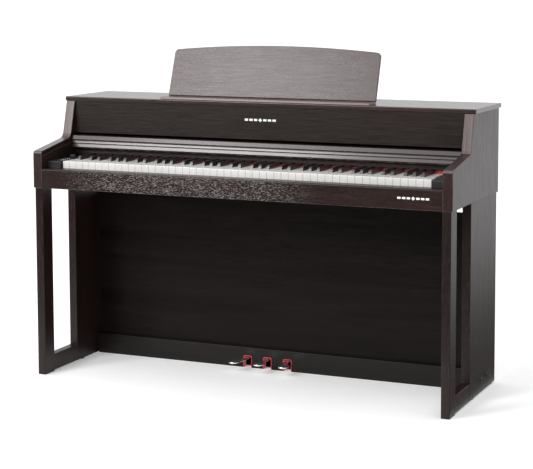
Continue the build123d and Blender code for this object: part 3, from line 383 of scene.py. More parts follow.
# %% Felt and circuit board
def felt(name, low, high):
    """Pressed wool: mottled colour, no gloss, sheen on the fibres and a deep soft bump."""
    finish, tree, shader, place = start_finish(
        name, Specular_IOR_Level=0.05, Sheen_Weight=0.6, Sheen_Roughness=0.5, Roughness=0.95)
    wool = noise(tree, place, scale=700, detail=6, roughness=0.75)
    tuft = noise(tree, place, scale=160, detail=4)
    colour = combine(tree, "MIX", low, high, ramp(tree, wool, [(0.3, 0.0), (0.7, 1.0)]))
    colour = combine(tree, "MULTIPLY", colour, ramp(tree, tuft, [(0.2, 0.75), (0.8, 1.15)]), 0.7)
    tree.links.new(colour, shader.inputs["Base Color"])
    bumps(tree, shader, combine(tree, "ADD", wool, tuft), 0.9, 0.5 * MM)
    return finish


def circuit(name):
    """Green lacquer over copper tracks, laid out by a brick pattern of thin lines."""
    finish, tree, shader, place = start_finish(name, Specular_IOR_Level=0.5)
    tracks = add(tree, "TexBrick", Scale=160.0, Mortar_Size=0.05)
    tree.links.new(place, tracks.inputs["Vector"])
    dust = noise(tree, place, scale=90, detail=4)
    colour = combine(tree, "MIX", (0.012, 0.10, 0.045), (0.03, 0.19, 0.085), tracks.outputs["Fac"])
    tree.links.new(combine(tree, "MULTIPLY", colour, ramp(tree, dust, [(0.3, 0.8), (0.7, 1.1)])),
                   shader.inputs["Base Color"])
    tree.links.new(ramp(tree, dust, [(0.3, 0.25), (0.7, 0.5)]), shader.inputs["Roughness"])
    bumps(tree, shader, tracks.outputs["Fac"], 0.3, 0.1 * MM)
    return finish


RED_FELT = felt("red_felt", (0.46, 0.020, 0.030), (0.80, 0.065, 0.080))
GREEN = circuit("circuit_lacquer")
print("others:", [kind.name for kind in (RED_FELT, GREEN)])

# %% [markdown]
# ### A finish for every node
# Nodes deep inside the cabinet keep their plain meshes, because their shapes are already right,
# and only get a finish. The record names a slot for every node, so one table from slot to finish
# is shorter than a choice for each node, and none is forgotten.

# %% Finish of each material slot
BY_SLOT = {
    "veneer": VENEER_X, "dark_board": LAMINATE, "gloss_rail": RAIL_LACQUER, "black_plastic": PLATE,
    "white_key_plastic": IVORY, "black_key_plastic": EBONY, "red_felt": RED_FELT, "chrome": CHROME,
    "steel": ZINC, "sheet_steel": COATED, "circuit_green": GREEN, "speaker_black": CONE}


def paint(piece, finish):
    """The one finish of a piece, in place of whatever it had."""
    piece.data.materials.clear()
    piece.data.materials.append(finish)
    return piece


for node_name, node_object in frame["nodes"].items():
    paint(node_object, BY_SLOT[FINISH_OF[node_name]])
print("painted", len(frame["nodes"]), "nodes")

# %% [markdown]
# ## Boards with softened edges
# No real board has a knife edge: it is sanded and lacquered, and that thin round line is what
# catches the light. A bevel modifier could do it, but it can't tell the finish which faces are
# edges. So each board starts as a copy of the plain solid, which has the right shape. The copy's
# triangles are merged back into whole faces, the sharp edges are bevelled, and the new faces are
# marked. A weighted-normal modifier keeps the flats flat while the bevels shade round.

# %% Softened copy of a node
SHARP = math.radians(32)         # edges bent more than this are rounded
FLAT = math.radians(0.6)         # triangles bent less than this become one face
WELD = 0.02 * MM


def whole_faces(mesh_data):
    """A bmesh of the node with its triangles merged into whole flat faces."""
    work = bmesh.new()
    work.from_mesh(mesh_data)
    bmesh.ops.remove_doubles(work, verts=work.verts, dist=WELD)
    bmesh.ops.dissolve_limit(work, angle_limit=FLAT, verts=work.verts, edges=work.edges)
    return work


def soften_edges(work, width, rounds):
    """Bevels every sharp edge and marks the new faces in the edge attribute."""
    mark = work.faces.layers.float.new("edge")
    sharp = [e for e in work.edges if len(e.link_faces) == 2 and e.calc_face_angle(0) > SHARP]
    made = bmesh.ops.bevel(work, geom=sharp, offset=width, offset_type="OFFSET", segments=rounds,
                           profile=0.5, affect="EDGES", clamp_overlap=True)
    for face in made["faces"]:
        face[mark] = 1.0


def finish_mesh(name, work, finish):
    """Turns the bmesh into a smooth-shaded object with flats kept flat."""
    mesh = bpy.data.meshes.new(name)
    work.to_mesh(mesh)
    work.free()
    for face in mesh.polygons:
        face.use_smooth = True
    piece = bpy.data.objects.new(name, mesh)
    bpy.context.scene.collection.objects.link(piece)
    paint(piece, finish)
    keep_flat = piece.modifiers.new("keep flats flat", "WEIGHTED_NORMAL")
    keep_flat.weight = 100
    keep_flat.keep_sharp = False
    return piece


def band_of(normal):
    """Which finish a face of a banded board takes: 0 its own, 1 the band, 2 the band painted lighter as
    sheen.
    """
    if abs(normal.x) > 0.6:
        return 0
    leaning = normal.y < -0.6 and normal.z > 0.12
    return 2 if leaning else 1


def softened(node, finish, width=1.0, rounds=2, bands=()):
    """A copy of a node with edges rounded by width millimetres, riding where the node rides.
    With bands, the narrow faces that don't look along X are covered in those finishes."""
    work = whole_faces(frame["nodes"][node].data)
    soften_edges(work, width * MM, rounds)
    work.normal_update()
    picks = [band_of(face.normal) for face in work.faces]
    made = finish_mesh(node + "_made", work, finish)
    if bands:
        for band in bands:
            made.data.materials.append(band)
        for face, pick in zip(made.data.polygons, picks):
            face.material_index = pick
    return settle(made, node, [node])


print("edges bent more than", round(math.degrees(SHARP)), "degrees get rounded")

# %% [markdown]
# The case is the side panels, lid, front, slip and bed. The stand is the posts, rails and panels
# under them. Each board gets its own wood and its own rounding in millimetres. The side panels
# have a thin band glued on their narrow faces, as real veneered boards do.

# %% The case and the stand
CASE = (
    ("left_front_post", VENEER_LEG, 1.2), ("right_front_post", VENEER_LEG, 1.2),
    ("left_foot_rail", VENEER_Y, 1.2), ("right_foot_rail", VENEER_Y, 1.2),
    ("left_rear_panel", VENEER_LEG, 1.2), ("right_rear_panel", VENEER_LEG, 1.2),
    ("left_side_panel", VENEER_Z, 1.4), ("right_side_panel", VENEER_Z, 1.4),
    ("top_lid", VENEER_LID, 1.6), ("front_panel", VENEER_SMOOTH, 1.0), ("name_rail", VENEER_X, 0.8),
    ("key_slip", SLIP_VENEER_AND_GLINTS, 1.2), ("pedal_rail", PEDAL_BOARD, 1.0), ("back_panel", KNEE_BOARD, 0.8),
    ("rest_panel", VENEER_REST, 1.6), ("rest_ledge", VENEER_LEDGE, 1.0), ("key_bed", LAMINATE, 0.8),
    ("cabinet_back", LAMINATE, 0.8), ("cover_rail", RAIL_LACQUER, 0.5), ("cover_panel", LAMINATE, 0.6))
for board, wood, width in CASE:
    # Side-panel faces that lean towards the player take the band with painted sheen.
    bands = (BANDING, BAND_WITH_PAINTED_SHEEN) if board.endswith("side_panel") else ()
    made = softened(board, wood, width, bands=bands)
    print(made.name, len(made.data.polygons), "faces")

# %% [markdown]
# ## Keys
# Each key is moulded with rounded corners. The gaps between the white keys and the soft edges of
# the black ones make the keyboard's rhythm. One long block with painted lines would be quicker,
# but the lines would stay flat, so all 88 get a real bevel: finer on the white keys, which are
# nearly square, and fuller on the black ones, which are worn round by fingers.

# %% Softened keys
WHITE_NODES = ["white_keys"] + [f"key_{note}4" for note in "cdefgab"]
BLACK_NODES = ["black_keys"] + [f"key_{note}s4" for note in "cdfga"]
WHITE_ROUND, BLACK_ROUND = 0.55, 1.5       # millimetres
for node in WHITE_NODES:
    softened(node, IVORY, WHITE_ROUND)
for node in BLACK_NODES:
    softened(node, EBONY, BLACK_ROUND, rounds=3)
print(len(WHITE_NODES), "white and", len(BLACK_NODES), "black key nodes softened")

# %% [markdown]
# ## Small plastic and steel pieces
# The cheek blocks, buttons, socket plate, bolts and the rest's fittings are mouldings and
# pressings. They could be built afresh, but their plain solids are already exact, so the same
# softened copy suits them, with a finer radius.

# %% Softened small pieces
SMALL = (
    ("left_cheek_block", CHEEK, 1.2), ("right_cheek_block", CHEEK, 1.2), ("function_buttons", CAP, 0.4),
    ("power_button", CAP, 0.3), ("jack_plate", PLATE, 0.5), ("rest_hinges", ZINC, 0.3),
    ("rest_brackets", ZINC, 0.3), ("rest_stay", ZINC, 0.4), ("stand_bolts", BLACKENED, 0.25),
    ("floor_glides", PLATE, 0.8), ("pedal_box", COATED, 0.4))
for node, finish, width in SMALL:
    made = softened(node, finish, width)
    print(made.name, len(made.data.polygons), "faces")

# %% [markdown]
# ## Rings and skins
# Pedals, knob, lamps, grille rings and screws are all rows of rings with a skin between them. One
# function skins any row, and another turns an outline round an upright axis, like a lathe. The
# spin operator could do this too, but it leaves a seam.


# %% Skinning a row of rings
def angles(steps):
    """The angles of a full turn in equal steps."""
    return [2 * math.pi * i / steps for i in range(steps)]


def skin(work, rings, closed=False):
    """Joins each ring to the next with faces, and if closed, the last ring to the first."""
    following = rings[1:] + rings[:1] if closed else rings[1:]
    for ring, other in zip(rings, following):
        for i in range(len(ring)):
            j = (i + 1) % len(ring)
            work.faces.new((ring[i], ring[j], other[j], other[i]))


def cap_ends(work, rings):
    """A face over the first ring and one over the last. It returns the last."""
    work.faces.new(rings[0][::-1])
    return work.faces.new(rings[-1])


def upright_ring(work, radius, x, y, z, steps, ribs=0, rib_depth=0.0):
    """A level ring; with ribs, its radius goes in and out by rib_depth."""
    ring = []
    for angle in angles(steps):
        r = radius - rib_depth * (0.5 + 0.5 * math.cos(ribs * angle))
        ring.append(work.verts.new((x + r * math.cos(angle), y + r * math.sin(angle), z)))
    return ring


def turned(work, outline, x, y, steps):
    """Turns an outline of (radius, z) points round an upright axis and closes both ends."""
    rings = [upright_ring(work, radius, x, y, z, steps) for radius, z in outline]
    skin(work, rings)
    cap_ends(work, rings)
    bmesh.ops.recalc_face_normals(work, faces=work.faces)


print("rings and skins ready")

# %% [markdown]
# ## Pedals
# A pedal is a cast tongue, polished and plated: a narrow neck comes out of its slot, bends
# outwards and swells into a rounded foot plate with a crowned top. Pushing a block about by hand
# would give lumps, so it is lofted: rounded cross-sections are placed along the neck's line, they
# are skinned, and a subdivision modifier smooths the skin. A ring round the axle is its hub. The
# sizes come from the node it stands for, so it stays inside it.

# %% Sizes of a pedal
AXLE_LOW, AXLE_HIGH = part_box("pedal_axle")
AXLE_Y, AXLE_Z = (AXLE_LOW.y + AXLE_HIGH.y) / 2, (AXLE_LOW.z + AXLE_HIGH.z) / 2
AXLE_R = (AXLE_HIGH.z - AXLE_LOW.z) / 2
HUB_BORE, HUB_R, HUB_EDGE = AXLE_R + 0.05 * MM, 7.9 * MM, 1.0 * MM
HUB_STEPS = 32
NECK_BACK = AXLE_Y - 7 * MM      # the loft starts inside the hub
NECK_SEEN_Y = 0.09               # behind this the neck is straight
FOOT_HALF = 16.6 * MM
THICK = 7.2 * MM
CROWN_DROP = 1.7 * MM            # the loft's top below the node's, which leaves room for the crown
TIP_GAP = 0.3 * MM
NOSE_RUN = 15 * MM               # the tip rounds off over this length
SECTIONS, SIDES = 34, 20
# Where each change of the tongue starts along Y, and how far it runs towards the tip.
BEND, SWELL, SLIM, DIP = (0.084, 0.045), (0.074, 0.040), (0.13, 0.03), (0.10, 0.07)
SLIM_SHARE, DIP_DEEP, DROOP = 0.10, 2.0 * MM, 2.2 * MM
FOOT_FROM, FOOT_TO = 30 * MM, 40 * MM      # the foot plate's middle is measured here


def fade(y, start, run):
    """From 0 at start to 1 after run, with soft ends."""
    t = max(0.0, min(1.0, (start - y) / run))
    return t * t * (3 - 2 * t)


def span_x(node, y_low, y_high):
    """Lowest and highest X of a node's corners between two places along Y."""
    xs = [v.co.x for v in frame["nodes"][node].data.vertices if y_low <= v.co.y <= y_high]
    return min(xs), max(xs)


print("axle radius", round(AXLE_R / MM, 2), "mm")


# %% Lofted pedals
def cross_section(work, y, centre, half, top, thick):
    """One rounded cross-section: a crowned upper side over a flatter lower one."""
    ring = []
    for angle in angles(SIDES):
        across, up = math.cos(angle), math.sin(angle)
        x = half * math.copysign(abs(across) ** 0.75, across)
        z = thick / 2 * math.copysign(abs(up) ** (0.9 if up > 0 else 0.6), up)
        ring.append(work.verts.new((centre + x, y, top - thick / 2 + z)))
    return ring


def tongue(work, node, neck_low, neck_high):
    """The neck and the foot plate, from the hub to the tip."""
    low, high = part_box(node)
    foot_low, foot_high = span_x(node, low.y + FOOT_FROM, low.y + FOOT_TO)
    neck, foot = (neck_low + neck_high) / 2, (foot_low + foot_high) / 2
    neck_half = (neck_high - neck_low) / 2
    rings = []
    for i in range(SECTIONS):
        t = i / (SECTIONS - 1)
        y = NECK_BACK + (low.y + TIP_GAP - NECK_BACK) * (1 - (1 - t) ** 1.25)
        bend, swell = fade(y, *BEND), fade(y, *SWELL)
        slim = 1.0 - SLIM_SHARE * fade(y, *SLIM) * (1 - swell)
        half = neck_half * slim * (1 - swell) + FOOT_HALF * swell
        nose = max(0.0, min(1.0, (y - low.y) / NOSE_RUN))
        half *= math.sqrt(max(1 - (1 - nose) ** 2.2, 0.02))
        droop = DROOP * (1 - nose) ** 2
        dip = DIP_DEEP * math.sin(math.pi * fade(y, *DIP))
        top = high.z - CROWN_DROP - droop - dip
        thick = THICK * (0.62 + 0.38 * math.sqrt(nose))
        rings.append(cross_section(work, y, neck + (foot - neck) * bend, half, top, thick))
    skin(work, rings)
    cap_ends(work, rings)


def hub(work, x_low, x_high):
    """The ring round the axle, with its outer corners cut off."""
    outline = ((x_low, HUB_BORE), (x_low, HUB_R - HUB_EDGE), (x_low + HUB_EDGE, HUB_R),
               (x_high - HUB_EDGE, HUB_R), (x_high, HUB_R - HUB_EDGE), (x_high, HUB_BORE))
    rings = []
    for x, radius in outline:
        rings.append([work.verts.new((x, AXLE_Y + radius * math.cos(a), AXLE_Z + radius * math.sin(a)))
                      for a in angles(HUB_STEPS)])
    skin(work, rings, closed=True)


def pedal(node):
    """Tongue and hub in one piece, plated and smoothed."""
    neck_low, neck_high = span_x(node, NECK_SEEN_Y, AXLE_Y)
    work = bmesh.new()
    tongue(work, node, neck_low, neck_high)
    hub(work, neck_low, neck_high)
    bmesh.ops.recalc_face_normals(work, faces=work.faces)
    made = finish_mesh(node + "_cast", work, CHROME)
    smooth = made.modifiers.new("smooth skin", "SUBSURF")
    smooth.levels = smooth.render_levels = 1
    return settle(made, node, [node])


for node in ("soft_pedal", "sostenuto_pedal", "damper_pedal"):
    made = pedal(node)
    print(made.name, len(made.data.polygons), "faces before smoothing")

# %% [markdown]
# ## Felt
# Felt is cut from sheet, so its outline is exact but its surface is woolly. Cloth simulation would
# only sag it, and glued felt doesn't sag. So the copy is subdivided and every corner is pushed in
# a few hundredths of a millimetre at random, which breaks the straight highlights. The random
# numbers are seeded, so the felt is the same each time.

# %% Woolly copies
FELT_ROUND, FELT_FUZZ, FELT_STEP = 0.35 * MM, 0.12 * MM, 12 * MM
FELT_SEED = 7


def woolly(node):
    """A copy of a felt node with small random bumps, kept a hair inside the plain one."""
    work = whole_faces(frame["nodes"][node].data)
    soften_edges(work, FELT_ROUND, 2)
    long_edges = [e for e in work.edges if e.calc_length() > FELT_STEP]
    for cuts in (40, 4):
        bmesh.ops.subdivide_edges(work, edges=long_edges, cuts=cuts, use_grid_fill=True)
        long_edges = [e for e in work.edges if e.calc_length() > FELT_STEP]
    shake = random.Random(FELT_SEED)
    for corner in work.verts:
        corner.co -= corner.normal * FELT_FUZZ * shake.random()
    return settle(finish_mesh(node + "_wool", work, RED_FELT), node, [node])


for node in ("name_felt", "slot_felts"):
    made = woolly(node)
    print(made.name, len(made.data.polygons), "faces")

# %% [markdown]
# ## Volume knob
# The knob is turned, with fine ribs round its side for grip. A bump could show the ribs, but its
# outline would stay a smooth circle. So it is lathed: an outline is carried round an axis, and on
# the side band the radius goes in and out.

# %% Turned knob
KNOB_LOW, KNOB_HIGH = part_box("volume_knob")
KNOB_X, KNOB_Y = (KNOB_LOW.x + KNOB_HIGH.x) / 2, (KNOB_LOW.y + KNOB_HIGH.y) / 2
KNOB_R = (KNOB_HIGH.x - KNOB_LOW.x) / 2
BLOCK_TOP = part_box("left_cheek_block")[1].z
STEM_R, DISH_R = 3.0 * MM, 1.5 * MM
SKIRT_GAP, DISH_DEEP = 0.6 * MM, 0.6 * MM
KNOB_STEPS, KNOB_RIBS, RIB_DEPTH = 144, 36, 0.45 * MM
# Millimetres in from the rim, millimetres above the block or below the knob's top, and ribbed or not.
KNOB_SIDE = ((0.6, 0.6, False), (0.0, 1.1, False), (0.0, 2.0, False), (0.0, 2.3, True))
KNOB_CROWN = ((0.3, 1.8, True), (0.4, 1.5, False), (1.1, 0.4, False), (2.0, 0.0, False),
              (3.0, 0.35, False))
outline = [(STEM_R, KNOB_LOW.z, False), (STEM_R, BLOCK_TOP + SKIRT_GAP, False)]
for inset, rise, ribbed in KNOB_SIDE:
    outline.append((KNOB_R - inset * MM, BLOCK_TOP + rise * MM, ribbed))
for inset, drop, ribbed in KNOB_CROWN:
    outline.append((KNOB_R - inset * MM, KNOB_HIGH.z - drop * MM, ribbed))
outline.append((DISH_R, KNOB_HIGH.z - DISH_DEEP, False))

work = bmesh.new()
rings = []
for radius, z, ribbed in outline:
    depth = RIB_DEPTH if ribbed else 0.0
    rings.append(upright_ring(work, radius, KNOB_X, KNOB_Y, z, KNOB_STEPS, KNOB_RIBS, depth))
skin(work, rings)
cap_ends(work, rings)
bmesh.ops.recalc_face_normals(work, faces=work.faces)
knob = settle(finish_mesh("volume_knob_turned", work, CAP), "volume_knob", ["volume_knob"])
print(knob.name, len(knob.data.polygons), "faces")

# %% [markdown]
# ### Pointer
# A pale line on top of the knob shows how far it is turned. Paint would stay flat, so the line is
# a thin bar let into the top. The same function makes the inlaid bars and the inlet's pins.


# %% Pale pointer
def add_bar(work, low, high):
    """A straight bar from its lowest to its highest corner."""
    made = bmesh.ops.create_cube(work, size=1.0)
    for corner in made["verts"]:
        corner.co = Vector(a + (b - a) * (c + 0.5) for a, b, c in zip(low, high, corner.co))


def rounded_bar(name, low, high, node, finish, width):
    """A bar with edges rounded by width millimetres, on the body of a node."""
    work = bmesh.new()
    add_bar(work, low, high)
    soften_edges(work, width * MM, 2)
    return settle(finish_mesh(name, work, finish), node)


POINTER_HALF, POINTER_FROM, POINTER_TO = 0.5 * MM, 7.6 * MM, 2.4 * MM
POINTER_LOW, POINTER_TOP = 0.9 * MM, 0.15 * MM      # below the knob's top
pointer = rounded_bar(
    "knob_pointer", (KNOB_X - POINTER_HALF, KNOB_Y - POINTER_FROM, KNOB_HIGH.z - POINTER_LOW),
    (KNOB_X + POINTER_HALF, KNOB_Y - POINTER_TO, KNOB_HIGH.z - POINTER_TOP), "volume_knob", PALE, 0.2)
print(pointer.name, "set")

# %% [markdown]
# ### Lamps
# A small lamp stands beside each of the five buttons: a clear lens in a thin collar. A glowing disc
# would look pasted on. A turned lens with a little light of its own also mirrors the room.


# %% Button lamps
def lamp_lens(name, colour, glow):
    """Clear tinted lens over a small lit chip."""
    finish, tree, shader, place = start_finish(
        name, Coat_Weight=1.0, Coat_Roughness=0.03, Emission_Strength=glow)
    swirl = noise(tree, place, scale=900, detail=3)
    shade = combine(tree, "MIX", tuple(c * 0.8 for c in colour), colour, swirl)
    tree.links.new(shade, shader.inputs["Base Color"])
    tree.links.new(shade, shader.inputs["Emission Color"])
    tree.links.new(ramp(tree, swirl, [(0.3, 0.1), (0.7, 0.25)]), shader.inputs["Roughness"])
    return finish


LENS = lamp_lens("lamp_lens", (0.75, 0.80, 0.82), 0.6)
BUTTON_LOW, BUTTON_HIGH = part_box("function_buttons")
BUTTON_HALF = 3 * MM
LAMPS, LAMP_STEPS = 5, 24
LAMP_X = BUTTON_HIGH.x + 4.5 * MM
LAMP_OUTLINE = ((1.7, -0.5), (1.7, 0.35), (1.5, 0.5), (1.2, 0.5), (1.1, 0.65), (0.8, 1.0), (0.4, 1.15))
button_step = (BUTTON_HIGH.y - BUTTON_LOW.y - 2 * BUTTON_HALF) / (LAMPS - 1)
for i in range(LAMPS):
    work = bmesh.new()
    outline = [(radius * MM, BLOCK_TOP + rise * MM) for radius, rise in LAMP_OUTLINE]
    turned(work, outline, LAMP_X, BUTTON_LOW.y + BUTTON_HALF + i * button_step, LAMP_STEPS)
    settle(finish_mesh(f"button_lamp_{i + 1}", work, LENS), "left_cheek_block")
print(LAMPS, "lamps beside the buttons")

# %% [markdown]
# ## Inlays
# A maker's sign sits in the middle of the front panel and at the right end of the key slip. Here
# each is a plain pearl inlay with no lettering: a row of short bars either side of a lozenge, a
# fraction of a millimetre proud of the wood. Paint would look printed, while real small pieces
# catch the light on their rims.

# %% Pearl inlays
PANEL_LOW, PANEL_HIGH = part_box("front_panel")
SLIP_LOW, SLIP_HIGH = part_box("key_slip")
INLAY_SUNK, BAR_PROUD, STONE_PROUD = 0.6 * MM, 0.35 * MM, 0.4 * MM
BAR_SHARE, BAR_TALL, STONE_SHARE = 0.36, 0.030, 1.9
BAR_STEPS = (-3, -2, -1, 1, 2, 3)


def lozenge(name, x, y_face, z, half, node):
    """A flat lozenge with a bevelled rim, standing on a face that looks towards -Y."""
    work = bmesh.new()
    outline = [(x - half, z), (x, z - half), (x + half, z), (x, z + half)]
    face = work.faces.new([work.verts.new((a, y_face + INLAY_SUNK, b)) for a, b in outline])
    pulled = bmesh.ops.extrude_face_region(work, geom=[face])
    for corner in pulled["geom"]:
        if isinstance(corner, bmesh.types.BMVert):
            corner.co.y = y_face - STONE_PROUD
    bmesh.ops.recalc_face_normals(work, faces=work.faces)
    soften_edges(work, 0.15 * MM, 2)
    return settle(finish_mesh(name, work, PALE), node)


def sign(label, x, y_face, z, length, node):
    """Three short bars on each side of a lozenge, in one line, centred on x."""
    tall = length * BAR_TALL
    pitch = length / 7
    for step in BAR_STEPS:
        middle = x + step * pitch
        low = (middle - pitch * BAR_SHARE, y_face - BAR_PROUD, z - tall)
        high = (middle + pitch * BAR_SHARE, y_face + INLAY_SUNK, z + tall)
        bar = rounded_bar(f"{label}_bar_{step + 4}", low, high, node, PALE, 0.15)
    stone = lozenge(f"{label}_lozenge", x, y_face, z, tall * STONE_SHARE, node)


panel_sign_z = PANEL_LOW.z + 0.60 * (PANEL_HIGH.z - PANEL_LOW.z)
sign("panel_inlay", 0.0, PANEL_LOW.y, panel_sign_z, 0.110, "front_panel")
slip_sign_z = (SLIP_LOW.z + SLIP_HIGH.z) / 2 + 2 * MM
sign("slip_inlay", SLIP_HIGH.x - 0.088, SLIP_LOW.y, slip_sign_z, 0.100, "key_slip")
print("two inlays of", len(BAR_STEPS), "bars and a lozenge")

# %% [markdown]
# ## Speaker grilles
# The speakers look down through the key bed. Each opening has a ring and a grille of fine bars
# that keeps knees and brooms away from the cone. A sheet with a see-through pattern is lighter to
# draw, but it has no thickness and can't be exported, so the bars are real.

# %% Grilles under the speakers
BED_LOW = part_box("key_bed")[0]
SPEAKER_LOW, SPEAKER_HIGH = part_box("speakers")
HOLE_R, BASKET_R = 52 * MM, 62 * MM
HOLE_X, HOLE_Y = SPEAKER_HIGH.x - BASKET_R, (SPEAKER_LOW.y + SPEAKER_HIGH.y) / 2
RING_IN, RING_OUT = HOLE_R - 5 * MM, HOLE_R - 0.1 * MM
RING_LOW, RING_HIGH, RING_LIP = BED_LOW.z + 3 * MM, BED_LOW.z + 8 * MM, 0.6 * MM
RING_STEPS = 64
WIRE_Z, WIRE_TALL, WIRE_HALF, WIRE_PITCH = BED_LOW.z + 5 * MM, 1.6 * MM, 0.8 * MM, 5 * MM
WIRE_REACH = HOLE_R - 4 * MM
WIRES_EACH_SIDE = 9


def grille_ring(work, x, y):
    """The ring of a grille: a closed outline with its upper corners cut off."""
    outline = ((RING_IN, RING_LOW), (RING_IN, RING_HIGH - RING_LIP), (RING_IN + RING_LIP, RING_HIGH),
               (RING_OUT - RING_LIP, RING_HIGH), (RING_OUT, RING_HIGH - RING_LIP), (RING_OUT, RING_LOW))
    rings = [upright_ring(work, radius, x, y, z, RING_STEPS) for radius, z in outline]
    skin(work, rings, closed=True)


for side, word in ((-1, "left"), (1, "right")):
    work = bmesh.new()
    grille_ring(work, side * HOLE_X, HOLE_Y)
    for i in range(-WIRES_EACH_SIDE, WIRES_EACH_SIDE + 1):
        off = i * WIRE_PITCH
        reach = math.sqrt(WIRE_REACH ** 2 - off ** 2)
        add_bar(work, (side * HOLE_X - reach, HOLE_Y + off - WIRE_HALF, WIRE_Z),
                (side * HOLE_X + reach, HOLE_Y + off + WIRE_HALF, WIRE_Z + WIRE_TALL))
    bmesh.ops.recalc_face_normals(work, faces=work.faces)
    settle(finish_mesh(f"{word}_speaker_grille", work, PLATE), "speakers")
print("two grilles of", 2 * WIRES_EACH_SIDE + 1, "bars")

# %% [markdown]
# ## Screws in the back
# The cabinet back is held by screws along its upper and lower edge. A bump could draw the cross,
# but a screw is small and round, so real rings cost little. Its last face is pinched into a cross
# and pushed in, which gives the recess.

# %% Screws of the cabinet back
BACK_LOW, BACK_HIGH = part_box("cabinet_back")
SCREW_R, SCREW_STEPS = 3.2 * MM, 24
SCREWS_ALONG, SCREW_IN_X, SCREW_IN_Z = 9, 0.020, 9 * MM
RECESS_DEEP, RECESS_PINCH = 0.9 * MM, 0.55
# Share of the radius, and millimetres out of the face.
SCREW_OUTLINE = ((0.5, -2.2), (1.0, -0.3), (1.0, 0.1), (0.9, 0.3), (0.3, 0.35))


def screw(name, x, y_face, z, node):
    """A countersunk cross-head screw in a face that looks towards +Y."""
    work = bmesh.new()
    rings = []
    for share, out in SCREW_OUTLINE:
        r, y = SCREW_R * share, y_face + out * MM
        rings.append([work.verts.new((x + r * math.cos(a), y, z + r * math.sin(a)))
                      for a in angles(SCREW_STEPS)])
    skin(work, rings)
    cross = cap_ends(work, rings)
    bmesh.ops.inset_individual(work, faces=[cross], thickness=SCREW_R * 0.04)
    for corner in cross.verts:
        angle = math.atan2(corner.co.z - z, corner.co.x - x)
        pinch = 1.0 - RECESS_PINCH * abs(math.sin(2 * angle))
        corner.co.x = x + (corner.co.x - x) * pinch
        corner.co.z = z + (corner.co.z - z) * pinch
        corner.co.y -= RECESS_DEEP
    bmesh.ops.recalc_face_normals(work, faces=work.faces)
    return settle(finish_mesh(name, work, ZINC), node)


count = 0
for i in range(SCREWS_ALONG):
    run = BACK_HIGH.x - BACK_LOW.x - 2 * SCREW_IN_X
    x = BACK_LOW.x + SCREW_IN_X + i * run / (SCREWS_ALONG - 1)
    for z in (BACK_LOW.z + SCREW_IN_Z, BACK_HIGH.z - SCREW_IN_Z):
        count += 1
        piece = screw(f"back_screw_{count:02d}", x, BACK_HIGH.y, z, "cabinet_back")
print(count, "screws in the cabinet back")

# %% [markdown]
# ## Pins of the power inlet
# The inlet is a well in the socket plate with three flat pins. The well is already in the plain
# solid, so only the pins are missing, and the rounded bar serves for them too.

# %% Three pins
PLATE_LOW, PLATE_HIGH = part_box("jack_plate")
INLET_X, INLET_Z = PLATE_HIGH.x - 36 * MM, (PLATE_LOW.z + PLATE_HIGH.z) / 2
PIN_SPOTS = ((-7, -2), (7, -2), (0, 4))        # millimetres from the middle of the inlet
PIN_HALF_WIDE, PIN_HALF_TALL = 1, 2
PIN_ROOT, PIN_TIP = PLATE_HIGH.y - 19 * MM, PLATE_HIGH.y - 8 * MM
for index, (dx, dz) in enumerate(PIN_SPOTS):
    low = (INLET_X + (dx - PIN_HALF_WIDE) * MM, PIN_ROOT, INLET_Z + (dz - PIN_HALF_TALL) * MM)
    high = (INLET_X + (dx + PIN_HALF_WIDE) * MM, PIN_TIP, INLET_Z + (dz + PIN_HALF_TALL) * MM)
    pin = rounded_bar(f"inlet_pin_{index + 1}", low, high, "jack_plate", ZINC, 0.4)
print(len(PIN_SPOTS), "pins in the inlet")

# %% [markdown]
# ## Floor
# A plain pale floor runs up into a pale surrounding. A curved backdrop would do the same, but a
# flat floor also shows the soft contact shadow under the feet. A little light of its own keeps it
# as pale as the surroundings.


# %% Pale floor
def floor_finish(glow):
    """Pale paint with faint patches and a little light of its own."""
    finish, tree, shader, place = start_finish("pale_floor", Specular_IOR_Level=0.2, Emission_Strength=glow)
    shader.inputs["Emission Color"].default_value = (1, 1, 1, 1)
    patch = noise(tree, place, scale=3, detail=3)
    tree.links.new(ramp(tree, patch, [(0.3, 0.92), (0.7, 0.95)]), shader.inputs["Base Color"])
    tree.links.new(ramp(tree, patch, [(0.3, 0.6), (0.7, 0.7)]), shader.inputs["Roughness"])
    return finish


FLOOR_HALF, FLOOR_GLOW = 30.0, 0.24
work = bmesh.new()
bmesh.ops.create_grid(work, x_segments=8, y_segments=8, size=FLOOR_HALF)
floor = finish_mesh("floor", work, floor_finish(FLOOR_GLOW))
print("floor", floor.dimensions[:2])

# %% [markdown]
# ## Light
# The piano is dark and satin, so its shapes are read from what it mirrors. Pale surroundings draw
# the sides and the lid. A large front light would brighten everything evenly, so one narrow
# softbox, high and to the left, draws the leaning faces and fades along them.

# %% Surroundings and softbox
world = bpy.data.worlds.new("studio")
world.use_nodes = True
world.node_tree.nodes["Background"].inputs["Color"].default_value = (1, 1, 1, 1)
world.node_tree.nodes["Background"].inputs["Strength"].default_value = 1.0
bpy.context.scene.world = world
bpy.context.scene.view_settings.view_transform = "Standard"
SOFTBOX_AT, SOFTBOX_AIM = (-2.1, -3.6, 2.9), (0, 0, 0.8)
SOFTBOX_WIDE, SOFTBOX_TALL, SOFTBOX_RADIANCE = 1.5, 2.2, 10.8


def softbox(name, place, aim, width, height, radiance):
    """A rectangular light; its power follows from its size and how bright it looks."""
    data = bpy.data.lights.new(name, "AREA")
    data.shape = "RECTANGLE"
    data.size, data.size_y = width, height
    data.energy = radiance * math.pi * width * height
    lamp = bpy.data.objects.new(name, data)
    bpy.context.scene.collection.objects.link(lamp)
    lamp.location = place
    lamp.rotation_euler = (Vector(aim) - Vector(place)).to_track_quat("-Z", "Y").to_euler()
    return lamp


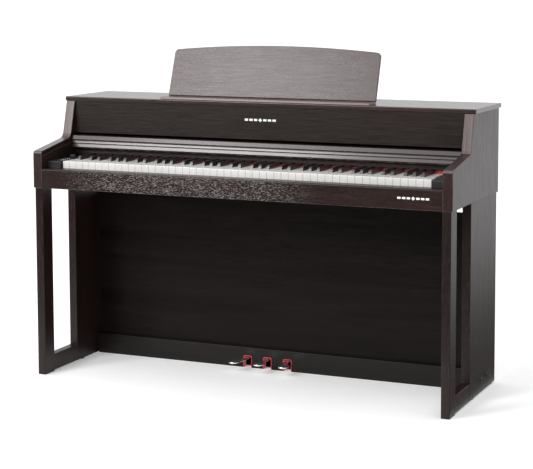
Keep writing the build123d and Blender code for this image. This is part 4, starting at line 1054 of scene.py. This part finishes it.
lamp = softbox("front_softbox", SOFTBOX_AT, SOFTBOX_AIM, SOFTBOX_WIDE, SOFTBOX_TALL, SOFTBOX_RADIANCE)
print("one softbox of", round(lamp.data.energy), "watts")

# %% [markdown]
# ### Black cards
# In a studio, black cards are set where a shiny surface would mirror too much white. Two in front
# darken the upright faces, and one beside the piano darkens the foot of its side. Darker wood
# would do it too, but then the faces wouldn't change with the view.

# %% Black cards
CARD_Z = 0.002                   # just above the floor
FAR, NEAR_Y, CARD_TOP = 6, -0.9, 1.5
SIDE_X, SIDE_Y = (0.70, 1.25), (-0.5, 3.0)


def flag(name, corners):
    """A black card that only mirrored light sees, so that it darkens a reflection and no shadow."""
    work = bmesh.new()
    work.faces.new([work.verts.new(corner) for corner in corners])
    card = finish_mesh(name, work, COATED)
    card.visible_camera = card.visible_diffuse = card.visible_shadow = card.visible_transmission = False
    return card


def lying(xs, ys):
    """The corners of a card that lies just above the floor."""
    return ((xs[0], ys[0], CARD_Z), (xs[1], ys[0], CARD_Z), (xs[1], ys[1], CARD_Z), (xs[0], ys[1], CARD_Z))


flag("front_floor_flag", lying((-FAR, FAR), (-FAR, NEAR_Y)))
flag("front_upright_flag", ((-FAR, -FAR, 0), (FAR, -FAR, 0), (FAR, -FAR, CARD_TOP), (-FAR, -FAR, CARD_TOP)))
flag("side_floor_flag", lying(SIDE_X, SIDE_Y))
print("three black cards round the piano")

# %% [markdown]
# ## Camera
# The camera stands to the right of the piano, about as high as its music rest, and looks slightly
# down. A long lens keeps the keyboard's lines nearly parallel. Shifting the lens, as a view camera
# does, places the piano in the frame without tilting the posts further.

# %% Camera
CAMERA_AT = (1.9993, -4.3954, 1.2456)
LOOKS_DOWN, TURNED_LEFT = 5.562, 22.399        # degrees
camera_data = bpy.data.cameras.new("camera")
camera_data.lens, camera_data.sensor_width = 105.2, 36.0
camera_data.shift_x, camera_data.shift_y = -0.10, -0.19
camera = bpy.data.objects.new("camera", camera_data)
bpy.context.scene.collection.objects.link(camera)
camera.location = CAMERA_AT
camera.rotation_euler = (math.radians(90 - LOOKS_DOWN), 0, math.radians(TURNED_LEFT))
bpy.context.scene.camera = camera
print("camera", tuple(camera.location))
